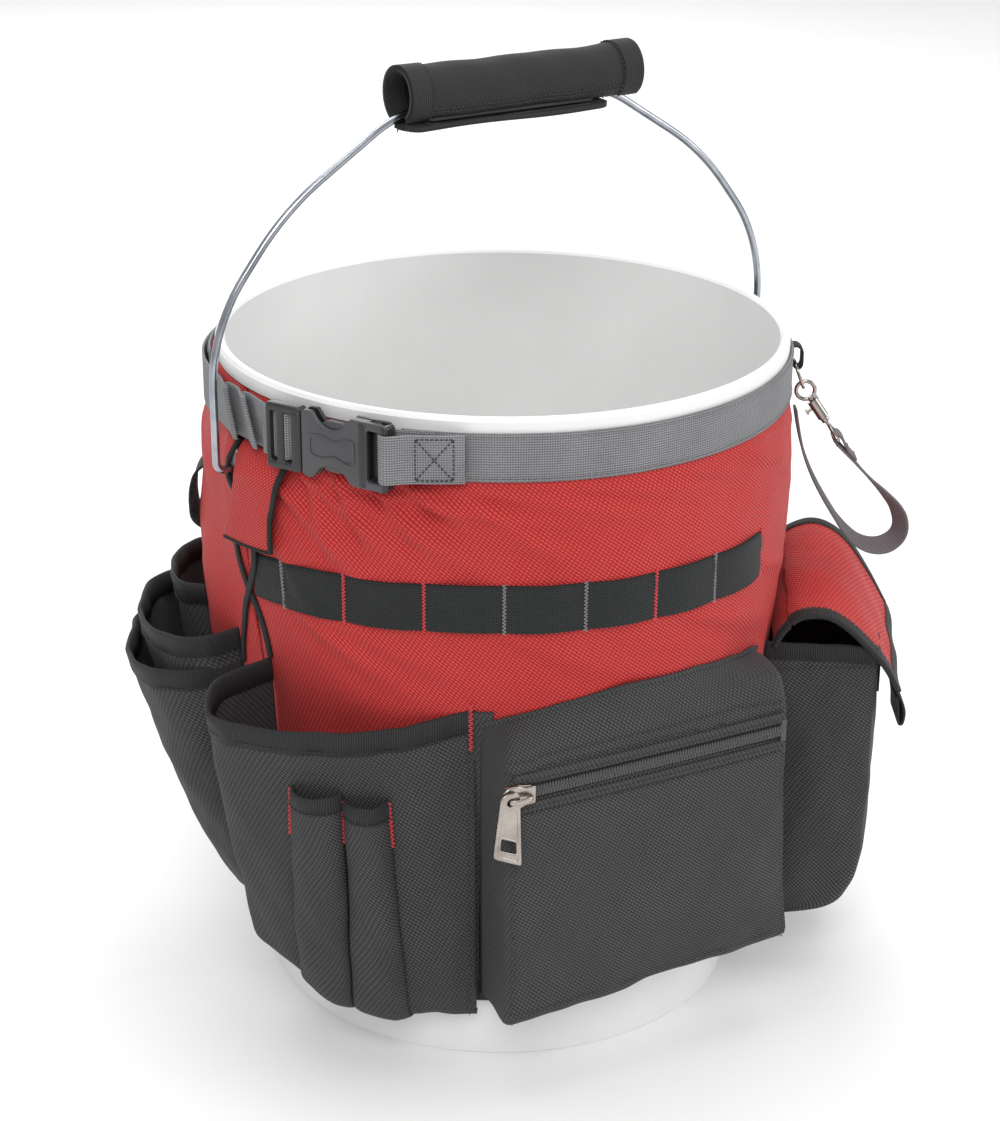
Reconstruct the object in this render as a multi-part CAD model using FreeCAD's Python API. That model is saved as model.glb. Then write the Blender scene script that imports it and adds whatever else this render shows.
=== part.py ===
"""Tool bucket organizer: a five gallon pail that wears a fabric skirt with pockets.

Millimetres, +Z up, origin at the middle of the pail's underside. X runs through the two bail ears and
the front of the organizer, with its zipped pocket, looks along -Y. A bearing is an angle about Z that
is 0 at the front and grows towards +X: a point at radius r and bearing b is (r sin b, -r cos b, z).
Parts that stand off the pail are built at bearing 0, where x runs along the pail's side, -y runs
outwards (the "depth" below) and z up, and are then turned to their own bearing.
"""
import FreeCAD, Part
import math
import os

Vector = FreeCAD.Vector
UP = Vector(0, 0, 1)
ORIGIN = Vector(0, 0, 0)
CLEAR = 0.3

# Pail
PAIL_HEIGHT = 368.0
BASE_RADIUS = 131.0
WALL_TOP_RADIUS = 148.5
WALL_TOP_Z = 358.6
WALL = 2.3
RIM_RADIUS = 151.5
RIM_STEP = 1.2
FLOOR_Z = 5.0
FLOOR = 2.6
FOOT_WIDTH = 6.0
HUB_RADIUS = 20.0
RIB_COUNT = 8
RIB_WIDTH = 2.4

# Bail and its ears
HINGE_Z = 318.0
WIRE_RADIUS = 2.0
BORE_RADIUS = 2.08
EAR_RADIUS = 9.6
EAR_FACE_X = 158.5
EAR_ROOT_X = 145.4
EAR_WEB_X = 152.0
EAR_WEB_THICK = 3.0
BORE_END_X = 150.5
LEG_X = 169.5
GRIP_WIRE_V = 170.0
# Half of the bail as (u, v) corners, from the ear up, with the length that each bend takes up
BAIL_HALF = [(BORE_END_X + 1, 0), (LEG_X, 0), (LEG_X, 73.5), (126.8, 128.2), (61.2, GRIP_WIRE_V)]
BAIL_BENDS = [5.0, 31.0, 25.0, 17.0]

# Grip wrap round the bail: u runs along X, v is the height over the hinge
WRAP_LEFT = -62.0
WRAP_RIGHT = 76.0
WRAP_V = 178.5
WRAP_RADIUS = 15.0
WRAP_WALL = 2.5
WRAP_TAPE = 12.0
WRAP_FLAP_V = 161.5
WRAP_FLAP_THICK = 2.2

# Skirt: outer radius by height
SKIRT = [(38, 137.2), (60, 138.5), (120, 142.0), (193, 147.5), (242, 153.0), (277, 155.5), (316, 154.5),
         (334, 152.4)]
SKIRT_THICK = 1.8
SKIRT_TOP = 359.0
SLIT_GAP = 0.4
EAR_NOTCH = (12.5, 305.5, 330.5)

# Band and buckle
BAND_LOW = 336.5
BAND_HIGH = 361.0
BAND_INNER = 151.6
BAND_OUTER = 153.0
BUCKLE_BEARING = -63.65
BUCKLE_Z = 349.0
BUCKLE_HALF = 36.0
BUCKLE_HEIGHT = 34.0
BUCKLE_BACK = 155.2
BUCKLE_FRONT = 163.2

# Load webbing
LOAD_LOW = 259.0
LOAD_HIGH = 284.0
LOAD_START = -86.5
LOAD_END = 26.6
GREY_TACKS = (-76.8, -31.7, -17.0, 11.0)
RED_TACKS = (-62.0, -46.2, -3.0, 26.2)

# Deep pocket beside the buckle and the two tool pockets on its front
FRONT_LOW_Z = 40.0
FRONT_TOP_Z = 208.0
TOOL_LOW_Z = 43.0
TOOL_TOP_Z = 168.0
TOOL_RISE = 10.5
TOOL_SPANS = ((-69.6, -60.9), (-60.5, -51.8))
TOOL_TACKS = (-69.8, -60.7, -51.2)
TOOL_TACK_LENGTH = 27.0

# Zipped pocket
ZIP_BEARING = -4.5
ZIP_FRONT = 161.0
ZIP_LEFT = -79.0
ZIP_RIGHT = 85.0
ZIP_BOTTOM = 50.0
ZIP_TOP = 190.0
ZIP_BACK_TOP = 217.0
ZIP_LINE = 182.0
ZIP_SLOT = 5.6
PULL_FOOT = 3.0
SLIDER_OVERHANG = 6.0
POCKET_WALL = 1.6

# Flap pocket
FLAP_BEARING = 57.8
FLAP_HALF = 45.0

# Hammer loop
HAMMER_BEARING = -124.0

# Lanyard
RING_CENTRE = (157.8, 341.5)
RING_RADIUS = 8.0
RING_WIRE = 0.9
SNAP_EYE = (177.0, 310.5)
SNAP_TOP = (160.0, 335.0)
SNAP_LOOP_T = 26.4
SNAP_LOOP_RADIUS = 5.0
SNAP_LOOP_WIRE = 1.1
STRAP_WIDTH = 12.0
STRAP_THICK = 1.5
STRAP_ROUTE = [(179.8, 303.2), (187.5, 295.5), (196.5, 285.0), (207.5, 274.5), (217.0, 263.0), (218.5, 250.0),
               (209.0, 242.0), (196.0, 244.0), (185.5, 254.5), (176.5, 268.5), (168.8, 282.0), (162.8, 296.0),
               (159.2, 309.5), (157.0, 322.0)]

POCKETS = ("front_left_pocket", "zip_pocket", "flap_pocket", "side_pocket_tall", "side_pocket_middle",
           "side_pocket_low", "rear_pocket_right", "rear_pocket_middle")
NODES = {}


def point(radius, bearing, z):
    turn = math.radians(bearing)
    return Vector(radius * math.sin(turn), -radius * math.cos(turn), z)


def to_bearing(shape, bearing):
    """Turn a shape built at bearing 0 to its own bearing."""
    turned = shape.copy()
    turned.rotate(ORIGIN, UP, bearing)
    return turned


def face(points):
    return Part.Face(Part.makePolygon(list(points) + [points[0]]))


def arc_solid(profile, start, end):
    """Turn a closed outline of (radius, height) pairs about Z from one bearing to another."""
    outline = face([point(radius, start, z) for radius, z in profile])
    return outline.revolve(ORIGIN, UP, end - start)


def ring_solid(profile):
    return face([Vector(radius, 0, z) for radius, z in profile]).revolve(ORIGIN, UP, 360)


def side_solid(outline, low, high):
    """Push a closed outline of (depth, height) pairs along x from low to high, at bearing 0."""
    return face([Vector(low, -depth, z) for depth, z in outline]).extrude(Vector(high - low, 0, 0))


def block(x_range, depth_range, z_range):
    """A box at bearing 0."""
    x_low, x_high = x_range
    near, far = depth_range
    low, high = z_range
    return Part.makeBox(x_high - x_low, far - near, high - low, Vector(x_low, -far, low))


def fuse(shapes):
    joined = shapes[0]
    for shape in shapes[1:]:
        joined = joined.fuse(shape)
    return joined.removeSplitter()


def add(name, *shapes):
    """Store a node, as one solid or as a group of separate solids."""
    solids = []
    for shape in shapes:
        solids.extend(shape.Solids)
    NODES[name] = solids[0] if len(solids) == 1 else Part.makeCompound(solids)


def skirt_radius(z):
    """Outer radius of the skirt at a height."""
    below = SKIRT[0]
    for above in SKIRT[1:]:
        if z <= above[0]:
            share = (z - below[0]) / (above[0] - below[0])
            return below[1] + share * (above[1] - below[1])
        below = above
    return SKIRT[-1][1]


def skirt_core():
    """The space that the pail and its skirt fill, with room to spare, for cutting pocket backs."""
    outline = [(radius + CLEAR, z) for z, radius in SKIRT]
    return ring_solid([(0, 0), (SKIRT[0][1] + CLEAR, 0)] + outline + [(0, SKIRT[-1][0])])


def even_bends(points, share=0.45):
    """Setbacks that use the same share of the shorter run at each corner."""
    pairs = zip(points, points[1:], points[2:])
    return [share * min((corner - before).Length, (after - corner).Length) for before, corner, after in pairs]


def smooth_wire(points, setbacks):
    """Straight runs joined by tangent arcs, which start and end at the setbacks from their corners."""
    edges = []
    start = points[0]
    for before, corner, after, setback in zip(points, points[1:], points[2:], setbacks):
        to_corner = (corner - before).normalize()
        from_corner = (after - corner).normalize()
        half_turn = to_corner.getAngle(from_corner) / 2
        radius = setback / math.tan(half_turn)
        arc_start = corner - to_corner * setback
        arc_end = corner + from_corner * setback
        inward = (from_corner - to_corner).normalize()
        middle = corner + inward * (radius / math.cos(half_turn) - radius)
        edges.append(Part.LineSegment(start, arc_start).toShape())
        edges.append(Part.Arc(arc_start, middle, arc_end).toShape())
        start = arc_end
    edges.append(Part.LineSegment(start, points[-1]).toShape())
    return Part.Wire(edges)


def tilted(shape, origin, turn):
    """Turn a shape drawn with its length along Z to its own direction and move it to its origin."""
    moved = shape.copy()
    moved.Placement = FreeCAD.Placement(origin, turn)
    return moved.copy()


def round_tube(wire, radius, start, direction):
    circle = Part.Wire(Part.makeCircle(radius, start, direction))
    return wire.makePipeShell([circle], True, False)


# ---------------------------------------------------------------- pail

def pail():
    inner_top = WALL_TOP_RADIUS - WALL
    inner_low = BASE_RADIUS - WALL + 0.3
    foot_inner = BASE_RADIUS - FOOT_WIDTH
    shell = ring_solid([
        (0, FLOOR_Z), (foot_inner, FLOOR_Z), (foot_inner, 0), (BASE_RADIUS - 1, 0),
        (BASE_RADIUS, RIM_STEP), (WALL_TOP_RADIUS, WALL_TOP_Z), (RIM_RADIUS, WALL_TOP_Z + RIM_STEP),
        (RIM_RADIUS, PAIL_HEIGHT - 1.8), (RIM_RADIUS - 1.4, PAIL_HEIGHT), (inner_top + RIM_STEP, PAIL_HEIGHT),
        (inner_top, PAIL_HEIGHT - 1.4), (inner_low, FLOOR_Z + FLOOR + 4), (inner_low - 4, FLOOR_Z + FLOOR),
        (0, FLOOR_Z + FLOOR)])
    pieces = [shell, Part.makeCylinder(HUB_RADIUS, FLOOR_Z + 1)]
    for index in range(RIB_COUNT):
        rib = Part.makeBox(foot_inner - HUB_RADIUS + 3, RIB_WIDTH, FLOOR_Z,
                           Vector(HUB_RADIUS - 1, -RIB_WIDTH / 2, 1.0))
        pieces.append(to_bearing(rib, index * 360 / RIB_COUNT))
    for side in (-1, 1):
        inward = Vector(-side, 0, 0)
        ear_face = Vector(side * EAR_FACE_X, 0, HINGE_Z)
        boss = Part.makeCylinder(EAR_RADIUS, EAR_FACE_X - EAR_ROOT_X, ear_face, inward)
        corners = [(EAR_ROOT_X, -24), (EAR_WEB_X, -10), (EAR_WEB_X, 0), (EAR_ROOT_X, 0)]
        web = face([Vector(side * x, -EAR_WEB_THICK / 2, HINGE_Z + v) for x, v in corners])
        pieces.append(boss)
        pieces.append(web.extrude(Vector(0, EAR_WEB_THICK, 0)))
    body = fuse(pieces)
    for side in (-1, 1):
        bore = Part.makeCylinder(BORE_RADIUS, 12, Vector(side * BORE_END_X, 0, HINGE_Z), Vector(side, 0, 0))
        body = body.cut(bore)
    add("bucket_shell", body)


# ---------------------------------------------------------------- bail and grip

def bail_wire():
    """One bent wire: a hook in each ear, upright legs, a round shoulder and a straight under the grip."""
    corners = [(-u, v) for u, v in BAIL_HALF] + [(u, v) for u, v in reversed(BAIL_HALF)]
    points = [Vector(u, 0, HINGE_Z + v) for u, v in corners]
    path = smooth_wire(points, BAIL_BENDS + BAIL_BENDS[::-1])
    add("bail_wire", round_tube(path, WIRE_RADIUS, points[0], Vector(1, 0, 0)))


def wrap_sleeve(u_low, u_high, radius, wall):
    """A sleeve along X, open along its underside where the wire leaves it."""
    centre = Vector(u_low, 0, HINGE_Z + WRAP_V)
    outer = Part.makeCylinder(radius, u_high - u_low, centre, Vector(1, 0, 0))
    inner = Part.makeCylinder(radius - wall, u_high - u_low, centre, Vector(1, 0, 0))
    mouth = Part.makeBox(u_high - u_low, 11.6, radius, Vector(u_low, -9.0, HINGE_Z + WRAP_V - radius))
    return outer.cut(inner).cut(mouth)


def grip():
    sleeve_left = WRAP_LEFT + WRAP_TAPE
    sleeve_right = WRAP_RIGHT - WRAP_TAPE
    add("grip_sleeve", wrap_sleeve(sleeve_left, sleeve_right, WRAP_RADIUS - 0.6, WRAP_WALL))
    add("grip_tape_left", wrap_sleeve(WRAP_LEFT, sleeve_left, WRAP_RADIUS, WRAP_WALL))
    add("grip_tape_right", wrap_sleeve(sleeve_right, WRAP_RIGHT, WRAP_RADIUS, WRAP_WALL))
    strip_low = HINGE_Z + WRAP_FLAP_V + WRAP_FLAP_THICK
    length = WRAP_RIGHT - 18 - WRAP_LEFT
    hook_strip = Part.makeBox(length - 24, 3.6, 1.0, Vector(WRAP_LEFT + 12, -12.4, strip_low + 2.2))
    flap = Part.makeBox(length, 17.6, WRAP_FLAP_THICK, Vector(WRAP_LEFT, -13.0, HINGE_Z + WRAP_FLAP_V))
    loop_strip = Part.makeBox(length - 24, 8.0, 0.8, Vector(WRAP_LEFT + 12, -12.0, strip_low))
    add("grip_hook_strip", hook_strip)
    add("grip_flap", flap)
    add("grip_loop_strip", loop_strip)


# ---------------------------------------------------------------- skirt

def skirt_profile(low, high, thick, outward=0.0):
    """Closed (radius, height) outline of a layer that follows the skirt, from low to high."""
    heights = [low] + [z for z, radius in SKIRT if low < z < high] + [high]
    outer = [(skirt_radius(z) + outward + thick, z) for z in heights]
    inner = [(skirt_radius(z) + outward, z) for z in reversed(heights)]
    return outer + inner


def skirt():
    low, high = SKIRT[0][0], SKIRT[-1][0]
    profile = skirt_profile(low, high, SKIRT_THICK, -SKIRT_THICK)
    outer_count = len(profile) // 2
    tuck = [(BAND_INNER - 0.2, BAND_LOW), (BAND_INNER - 0.2, SKIRT_TOP), (BAND_INNER - 1.4, SKIRT_TOP),
            (BAND_INNER - 1.4, BAND_LOW)]
    profile = profile[:outer_count] + tuck + profile[outer_count:]
    half_width, notch_low, notch_high = EAR_NOTCH
    notch = Part.makeBox(400, 2 * half_width, notch_high - notch_low, Vector(-200, -half_width, notch_low))
    add("skirt_front", arc_solid(profile, -90 + SLIT_GAP, 90 - SLIT_GAP).cut(notch))
    add("skirt_back", arc_solid(profile, 90 + SLIT_GAP, 270 - SLIT_GAP).cut(notch))
    for side, name in ((-1, "left"), (1, "right")):
        binding = skirt_profile(214, 298, 1.4, CLEAR)
        edges = [side * 90 + offset for offset in (-3.2, 0.6)]
        strips = [arc_solid(binding, edge, edge + 2.6) for edge in edges]
        add("slit_binding_" + name, *strips)
        tab_profile = [(154.6, 329.4), (161.4, 329.4), (161.4, 281.0), (160.0, 281.0), (160.0, 328.0),
                       (154.6, 328.0)]
        edges = sorted([side * 88.8, side * 78.5])
        add("ear_tab_" + name, arc_solid(tab_profile, *edges))


def skirt_hem():
    """Binding of the skirt's lower edge, cut away where the pockets are sewn over it."""
    low = SKIRT[0][0]
    outline = skirt_profile(low - 2, low + 10, 1.2, CLEAR)
    strips = [arc_solid(outline, -89, 89), arc_solid(outline, 91, 269)]
    for name in POCKETS:
        strips = [strip.cut(NODES[name]) for strip in strips]
    add("skirt_hem", *strips)


def band():
    ring = [(BAND_INNER, BAND_LOW), (BAND_OUTER, BAND_LOW), (BAND_OUTER, BAND_HIGH - 0.6),
            (BAND_INNER, BAND_HIGH - 0.6)]
    add("band", arc_solid(ring, -52, 247))
    pleats = [(BAND_OUTER + 0.6, BAND_LOW - 4), (BAND_OUTER + 4.2, BAND_LOW - 4),
              (BAND_OUTER + 4.2, BAND_HIGH - 4), (BAND_OUTER + 0.6, BAND_HIGH - 4)]
    add("pleated_strap", arc_solid(pleats, -113, -78.5))
    loop_outline = [(28.7, 165.3), (37.5, 165.3), (67.0, 141.2), (65.6, 138.9), (52.0, 144.5), (38.0, 149.0),
                    (28.7, 151.6)]
    loop_void = [(31.2, 163.6), (36.8, 163.6), (60.0, 144.3), (52.0, 147.4), (38.0, 151.9), (31.2, 154.0)]
    low = BUCKLE_Z - 12.4
    loop = face([Vector(s, -depth, low) for s, depth in loop_outline]).extrude(UP * 24.8)
    void = face([Vector(s, -depth, low) for s, depth in loop_void]).extrude(UP * 24.8)
    add("band_loop", to_bearing(loop.cut(void), BUCKLE_BEARING))


def buckle():
    """Side release buckle, flat, on a plane that touches the pail at its middle."""
    low = BUCKLE_Z - BUCKLE_HEIGHT / 2
    high = BUCKLE_Z + BUCKLE_HEIGHT / 2
    back, front = BUCKLE_BACK, BUCKLE_FRONT
    female = block((-14.0, BUCKLE_HALF), (back, front), (low, high))
    for side in (-1, 1):
        scoop = Part.makeCylinder(11.0, 20, Vector(3.5, -170, BUCKLE_Z + side * 20.5), Vector(0, 1, 0))
        female = female.cut(scoop)
    cavity = block((-14.5, 18.0), (back + 1.4, front - 1.4), (BUCKLE_Z - 13.4, BUCKLE_Z + 13.4))
    slot = block((25.5, 31.5), (back - 1, front + 1), (BUCKLE_Z - 12.9, BUCKLE_Z + 12.9))
    female = female.cut(cavity).cut(slot)
    add("buckle_female", to_bearing(female, BUCKLE_BEARING))
    frame = block((-BUCKLE_HALF, -14.6), (back, front), (low, high))
    window = block((-32.4, -21.0), (back - 1, front + 1), (BUCKLE_Z - 12.9, BUCKLE_Z + 12.9))
    rung = block((-28.0, -25.0), (back + 2, front - 2), (BUCKLE_Z - 13.5, BUCKLE_Z + 13.5))
    tongue = block((-15.0, 13.0), (back + 1.8, front - 1.8), (BUCKLE_Z - 1.2, BUCKLE_Z + 1.2))
    male = fuse([frame.cut(window), rung, tongue])
    add("buckle_male", to_bearing(male, BUCKLE_BEARING))
    for side, name in ((1, "upper"), (-1, "lower")):
        outline = [(-14.3, 4.0), (-14.3, 7.5), (-4.0, 8.6), (0.0, 12.9), (9.0, 12.9), (14.5, 9.0),
                   (14.5, 7.0), (2.0, 7.0), (-6.0, 4.0)]
        prong = face([Vector(s, -(front - 1.9), BUCKLE_Z + side * h) for s, h in outline])
        prong = prong.extrude(Vector(0, front - back - 3.8, 0))
        add("buckle_prong_" + name, to_bearing(prong, BUCKLE_BEARING))


def load_webbing():
    add("load_webbing", arc_solid(skirt_profile(LOAD_LOW, LOAD_HIGH, 1.5, CLEAR), LOAD_START, LOAD_END))
    tack = skirt_profile(LOAD_LOW - 1, LOAD_HIGH + 1, 0.9, CLEAR + 1.6)
    for name, bearings in (("bar_tacks_grey", GREY_TACKS), ("bar_tacks_red", RED_TACKS)):
        add(name, *[arc_solid(tack, bearing - 0.5, bearing + 0.5) for bearing in bearings])


# ---------------------------------------------------------------- pockets

def radius_at(outline, bearing):
    """Radius of an outline of (bearing, radius) pairs at a bearing."""
    before = outline[0]
    for after in outline[1:]:
        if bearing <= after[0]:
            share = (bearing - before[0]) / (after[0] - before[0])
            return before[1] + share * (after[1] - before[1])
        before = after
    return outline[-1][1]


def bulge(start, end, base, peak, count=11, power=2.6):
    """Outline of (bearing, radius) pairs that leaves the base radius, bulges to the peak and comes back."""
    outline = []
    for index in range(count):
        across = -math.cos(math.pi * index / (count - 1))
        bearing = (start + end) / 2 + across * (end - start) / 2
        rise = (1 - abs(across) ** power) ** (1 / power)
        outline.append((bearing, base + rise * (peak - base)))
    return outline


def pouch_block(levels, inset, back):
    """Loft of the outlines at their heights, moved in by inset, down to the back radius."""
    wires = []
    for z, outline in levels:
        middle = (outline[0][0] + outline[-1][0]) / 2
        width = math.radians(outline[-1][0] - outline[0][0]) * 160
        squeeze = 1 - 2 * inset / width
        narrowed = [(middle + (bearing - middle) * squeeze, radius) for bearing, radius in outline]
        front = [point(radius - inset, bearing, z) for bearing, radius in narrowed]
        rear = [point(back, bearing, z) for bearing, radius in reversed(narrowed)]
        wires.append(Part.makePolygon(front + rear + [front[0]]))
    return Part.makeLoft(wires, True, True)


def open_pouch(levels, behind, wall=POCKET_WALL):
    """A pocket that is open at its top: a wall and a floor in front of whatever lies behind it."""
    outer = pouch_block(levels, 0, 132)
    low = levels[0][0]
    top = levels[-1][0]
    inner = pouch_block([(low + wall, levels[0][1])] + levels[1:-1] + [(top + 0.5, levels[-1][1])], wall, 120)
    pouch = outer.cut(inner)
    for shape in behind:
        pouch = pouch.cut(shape)
    return pouch


def largest(shape):
    return max(shape.Solids, key=lambda solid: solid.Volume)


def front_radius(low, top, bearing, z):
    """Radius of the deep pocket's front between its lower and upper outlines."""
    share = (z - FRONT_LOW_Z) / (FRONT_TOP_Z - FRONT_LOW_Z)
    return radius_at(low, bearing) * (1 - share) + radius_at(top, bearing) * share


def front_left_pocket(core):
    """The deep pocket beside the buckle, with two narrow tool pockets sewn on its front."""
    top = [(-86, 149.3), (-85.4, 186), (-82, 195), (-76, 190), (-66, 176), (-56, 163.5), (-46, 154.0),
           (-37, 150.2)]
    low = [(-86, 140.5), (-85.2, 165), (-81, 172), (-74, 171), (-66, 167), (-56, 160), (-46, 150),
           (-37, 142.5)]
    add("front_left_pocket", largest(open_pouch([(FRONT_LOW_Z, low), (FRONT_TOP_Z, top)], [core])))
    wall = pouch_block([(FRONT_LOW_Z - 10, low), (FRONT_TOP_Z + 1, top)], -CLEAR, 132)
    for (start, end), name in zip(TOOL_SPANS, ("left", "right")):
        levels = []
        for z in (TOOL_LOW_Z, TOOL_TOP_Z):
            first, last = (front_radius(low, top, bearing, z) + 0.6 for bearing in (start, end))
            outline = [(bearing, first + (last - first) * (bearing - start) / (end - start) + lift)
                       for bearing, lift in bulge(start, end, 0, TOOL_RISE, 9, 2.4)]
            levels.append((z, outline))
        add("tool_pocket_" + name, largest(open_pouch(levels, [wall, core], 1.3)))
    tacks = []
    for bearing in TOOL_TACKS:
        radius = front_radius(low, top, bearing, TOOL_TOP_Z)
        tack = block((-0.9, 0.9), (radius + 2.4, radius + 3.6), (TOOL_TOP_Z - TOOL_TACK_LENGTH, TOOL_TOP_Z))
        tacks.append(to_bearing(tack, bearing))
    tacks.append(to_bearing(block((-0.9, 0.9), (152.2, 153.4), (196, 222)), -36.5))
    add("pocket_tacks", *tacks)


def zip_profile(inset):
    """Closed (depth, height) outline of the zipped pocket's side."""
    return [(130, ZIP_BOTTOM + inset), (ZIP_FRONT - 6, ZIP_BOTTOM + inset),
            (ZIP_FRONT - inset, ZIP_BOTTOM + 6), (ZIP_FRONT - inset, ZIP_TOP - 3),
             (ZIP_FRONT - 5 - inset, ZIP_TOP + 3 - inset),
            (145, ZIP_BACK_TOP - inset), (130, ZIP_BACK_TOP + 4 - inset)]


def zip_pocket(core):
    body = side_solid(zip_profile(0), ZIP_LEFT, ZIP_RIGHT)
    hollow = side_solid(zip_profile(POCKET_WALL), ZIP_LEFT + POCKET_WALL, ZIP_RIGHT - POCKET_WALL)
    slot = block((ZIP_LEFT + 3, ZIP_RIGHT - 3), (ZIP_FRONT - 4, ZIP_FRONT + 4),
                 (ZIP_LINE - ZIP_SLOT, ZIP_LINE + ZIP_SLOT))
    body = to_bearing(body.cut(hollow).cut(slot), ZIP_BEARING)
    add("zip_pocket", largest(body.cut(core)))
    for name, low, high in (("upper", 0.15, ZIP_SLOT), ("lower", -ZIP_SLOT, -0.15)):
        tape = block((ZIP_LEFT + 3, ZIP_RIGHT - 3), (ZIP_FRONT - 1.4, ZIP_FRONT - 0.4),
                     (ZIP_LINE + low, ZIP_LINE + high))
        add("zip_tape_" + name, to_bearing(tape, ZIP_BEARING))
    teeth = block((ZIP_LEFT + 6, ZIP_RIGHT - 4), (ZIP_FRONT - 0.4, ZIP_FRONT + 1.4),
                  (ZIP_LINE - 1.6, ZIP_LINE + 1.6))
    add("zip_teeth", to_bearing(teeth, ZIP_BEARING))


def zip_slider():
    """The slider straddles the teeth. The pull hangs on the left foot of the slider's arch."""
    start = ZIP_LEFT - SLIDER_OVERHANG
    crown = [(0, -4.0), (3.5, -6.4), (8.0, -6.8), (13.5, -4.6), (18.0, -4.6), (18.0, 4.6), (13.5, 4.6),
             (8.0, 6.8), (3.5, 6.4), (0, 4.0)]
    plate = face([Vector(start + s, -(ZIP_FRONT + 0.2), ZIP_LINE + h) for s, h in crown])
    plate = plate.extrude(Vector(0, -3.4, 0))
    tunnel = block((start - 1, start + 19.0), (ZIP_FRONT - 1, ZIP_FRONT + 1.8),
                   (ZIP_LINE - 2.1, ZIP_LINE + 2.1))
    top = ZIP_FRONT + 3.6
    left_foot = Part.makeCylinder(1.2, 4.4, Vector(start + PULL_FOOT, -top + 0.2, ZIP_LINE), Vector(0, -1, 0))
    right_foot = block((start + 13.6, start + 15.8), (top - 0.2, top + 4.2), (ZIP_LINE - 1.2, ZIP_LINE + 1.2))
    bar = block((start + PULL_FOOT, start + 15.8), (top + 2.8, top + 4.2), (ZIP_LINE - 1.2, ZIP_LINE + 1.2))
    add("zip_slider", to_bearing(fuse([plate.cut(tunnel), left_foot, right_foot, bar]), ZIP_BEARING))
    middle = start + PULL_FOOT
    outline = [(-5.4, 3.6), (-3.6, 5.0), (3.6, 5.0), (5.4, 3.6), (8.6, -40.0), (-8.6, -30.0)]
    window = [(-4.4, -20.4), (4.6, -25.4), (4.9, -32.2), (-4.7, -27.0)]
    depth = top + 0.5
    pull = face([Vector(middle + s, -depth, ZIP_LINE + h) for s, h in outline])
    hole = face([Vector(middle + s, -depth + 1, ZIP_LINE + h) for s, h in window])
    eye = Part.makeCylinder(1.9, 4, Vector(middle, -depth + 1, ZIP_LINE), Vector(0, -1, 0))
    pull = pull.extrude(Vector(0, -1.7, 0)).cut(hole.extrude(Vector(0, -4, 0))).cut(eye)
    add("zip_pull", to_bearing(pull, ZIP_BEARING))


def sheet_strip(points, thick):
    """Closed (depth, height) outline of a bent sheet whose outer face runs through the points."""
    inner = []
    for index, (depth, z) in enumerate(points):
        before = points[max(index - 1, 0)]
        after = points[min(index + 1, len(points) - 1)]
        along = Vector(after[0] - before[0], after[1] - before[1], 0).normalize()
        inner.append((depth + along.y * thick, z - along.x * thick))
    return points + inner[::-1]


def flap_pocket(core):
    outline = [(125, 39), (172, 39), (190, 43), (199, 58), (204, 77), (206, 120), (205.5, 203), (125, 203)]
    inset = [(125, 41), (171, 41), (188, 45), (197, 59), (202.4, 77), (204.4, 120), (203.9, 205), (125, 205)]
    body = side_solid(outline, -FLAP_HALF, FLAP_HALF)
    hollow = side_solid(inset, -FLAP_HALF + POCKET_WALL, FLAP_HALF - POCKET_WALL)
    add("flap_pocket", largest(to_bearing(body.cut(hollow), FLAP_BEARING).cut(core)))
    shoulder = sheet_strip([(146.0, 212.0), (150.5, 221.0), (157.6, 229.4)], 1.4)
    strip = to_bearing(side_solid(shoulder, -FLAP_HALF, FLAP_HALF), FLAP_BEARING)
    add("flap_hinge_strip", largest(strip.cut(core)))
    curve = [(162.6, 231.4), (175.0, 234.0), (187.0, 229.5), (198.0, 220.5), (207.5, 208.5), (214.5, 197.0),
             (221.0, 183.0)]
    flap = sheet_strip(curve, 1.6)
    edge = FLAP_HALF + 1
    add("pocket_flap", to_bearing(side_solid(flap, -edge, edge), FLAP_BEARING))
    sides = [side_solid(flap, -edge - 2.2, -edge), side_solid(flap, edge, edge + 2.2)]
    end_strip = sheet_strip([(221.0, 183.0), (222.6, 179.0)], 1.6)
    sides.append(side_solid(end_strip, -edge - 2.2, edge + 2.2))
    lid = NODES["pocket_flap"]
    add("flap_binding", *[to_bearing(shape, FLAP_BEARING).cut(lid) for shape in sides])
    tab = block((-45.5, -20.5), (218.6, 222.4), (152.0, 178.4))
    add("flap_tab", to_bearing(tab, FLAP_BEARING))
    hook = sheet_strip([(211.9, 197.7), (217.6, 185.3)], 1.2)
    add("flap_hook_patch", to_bearing(side_solid(hook, -20, 20), FLAP_BEARING))
    add("pocket_loop_patch", to_bearing(block((-25, 25), (205.9, 207.1), (166, 196)), FLAP_BEARING))


def side_pockets(core):
    """Three pockets in tiers on the left side of the back panel, the lowest outermost."""
    start, end = -99.5, -146.0
    tiers = [
        ("side_pocket_tall", -116.0, [(50, 145.0), (80, 156.0), (130, 169.0), (190, 177.5), (226, 182.0)]),
        ("side_pocket_middle", start, [(50, 149.5), (80, 164.0), (130, 181.5), (185, 194.0), (210, 199.5)]),
        ("side_pocket_low", start, [(50, 154.0), (80, 171.5), (130, 192.0), (190, 207.5)]),
    ]
    behind = [core]
    for name, near, profile in tiers:
        levels = []
        for z, peak in profile:
            levels.append((z, bulge(end, near, skirt_radius(z) + 0.6, peak)))
        add(name, largest(open_pouch(levels, behind)))
        bottom, rim = levels[0], levels[-1]
        grown = [(bottom[0] - 1, bottom[1])] + levels[1:] + [(rim[0] + 60, rim[1])]
        behind.append(pouch_block(grown, -2 * CLEAR, 130))


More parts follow.
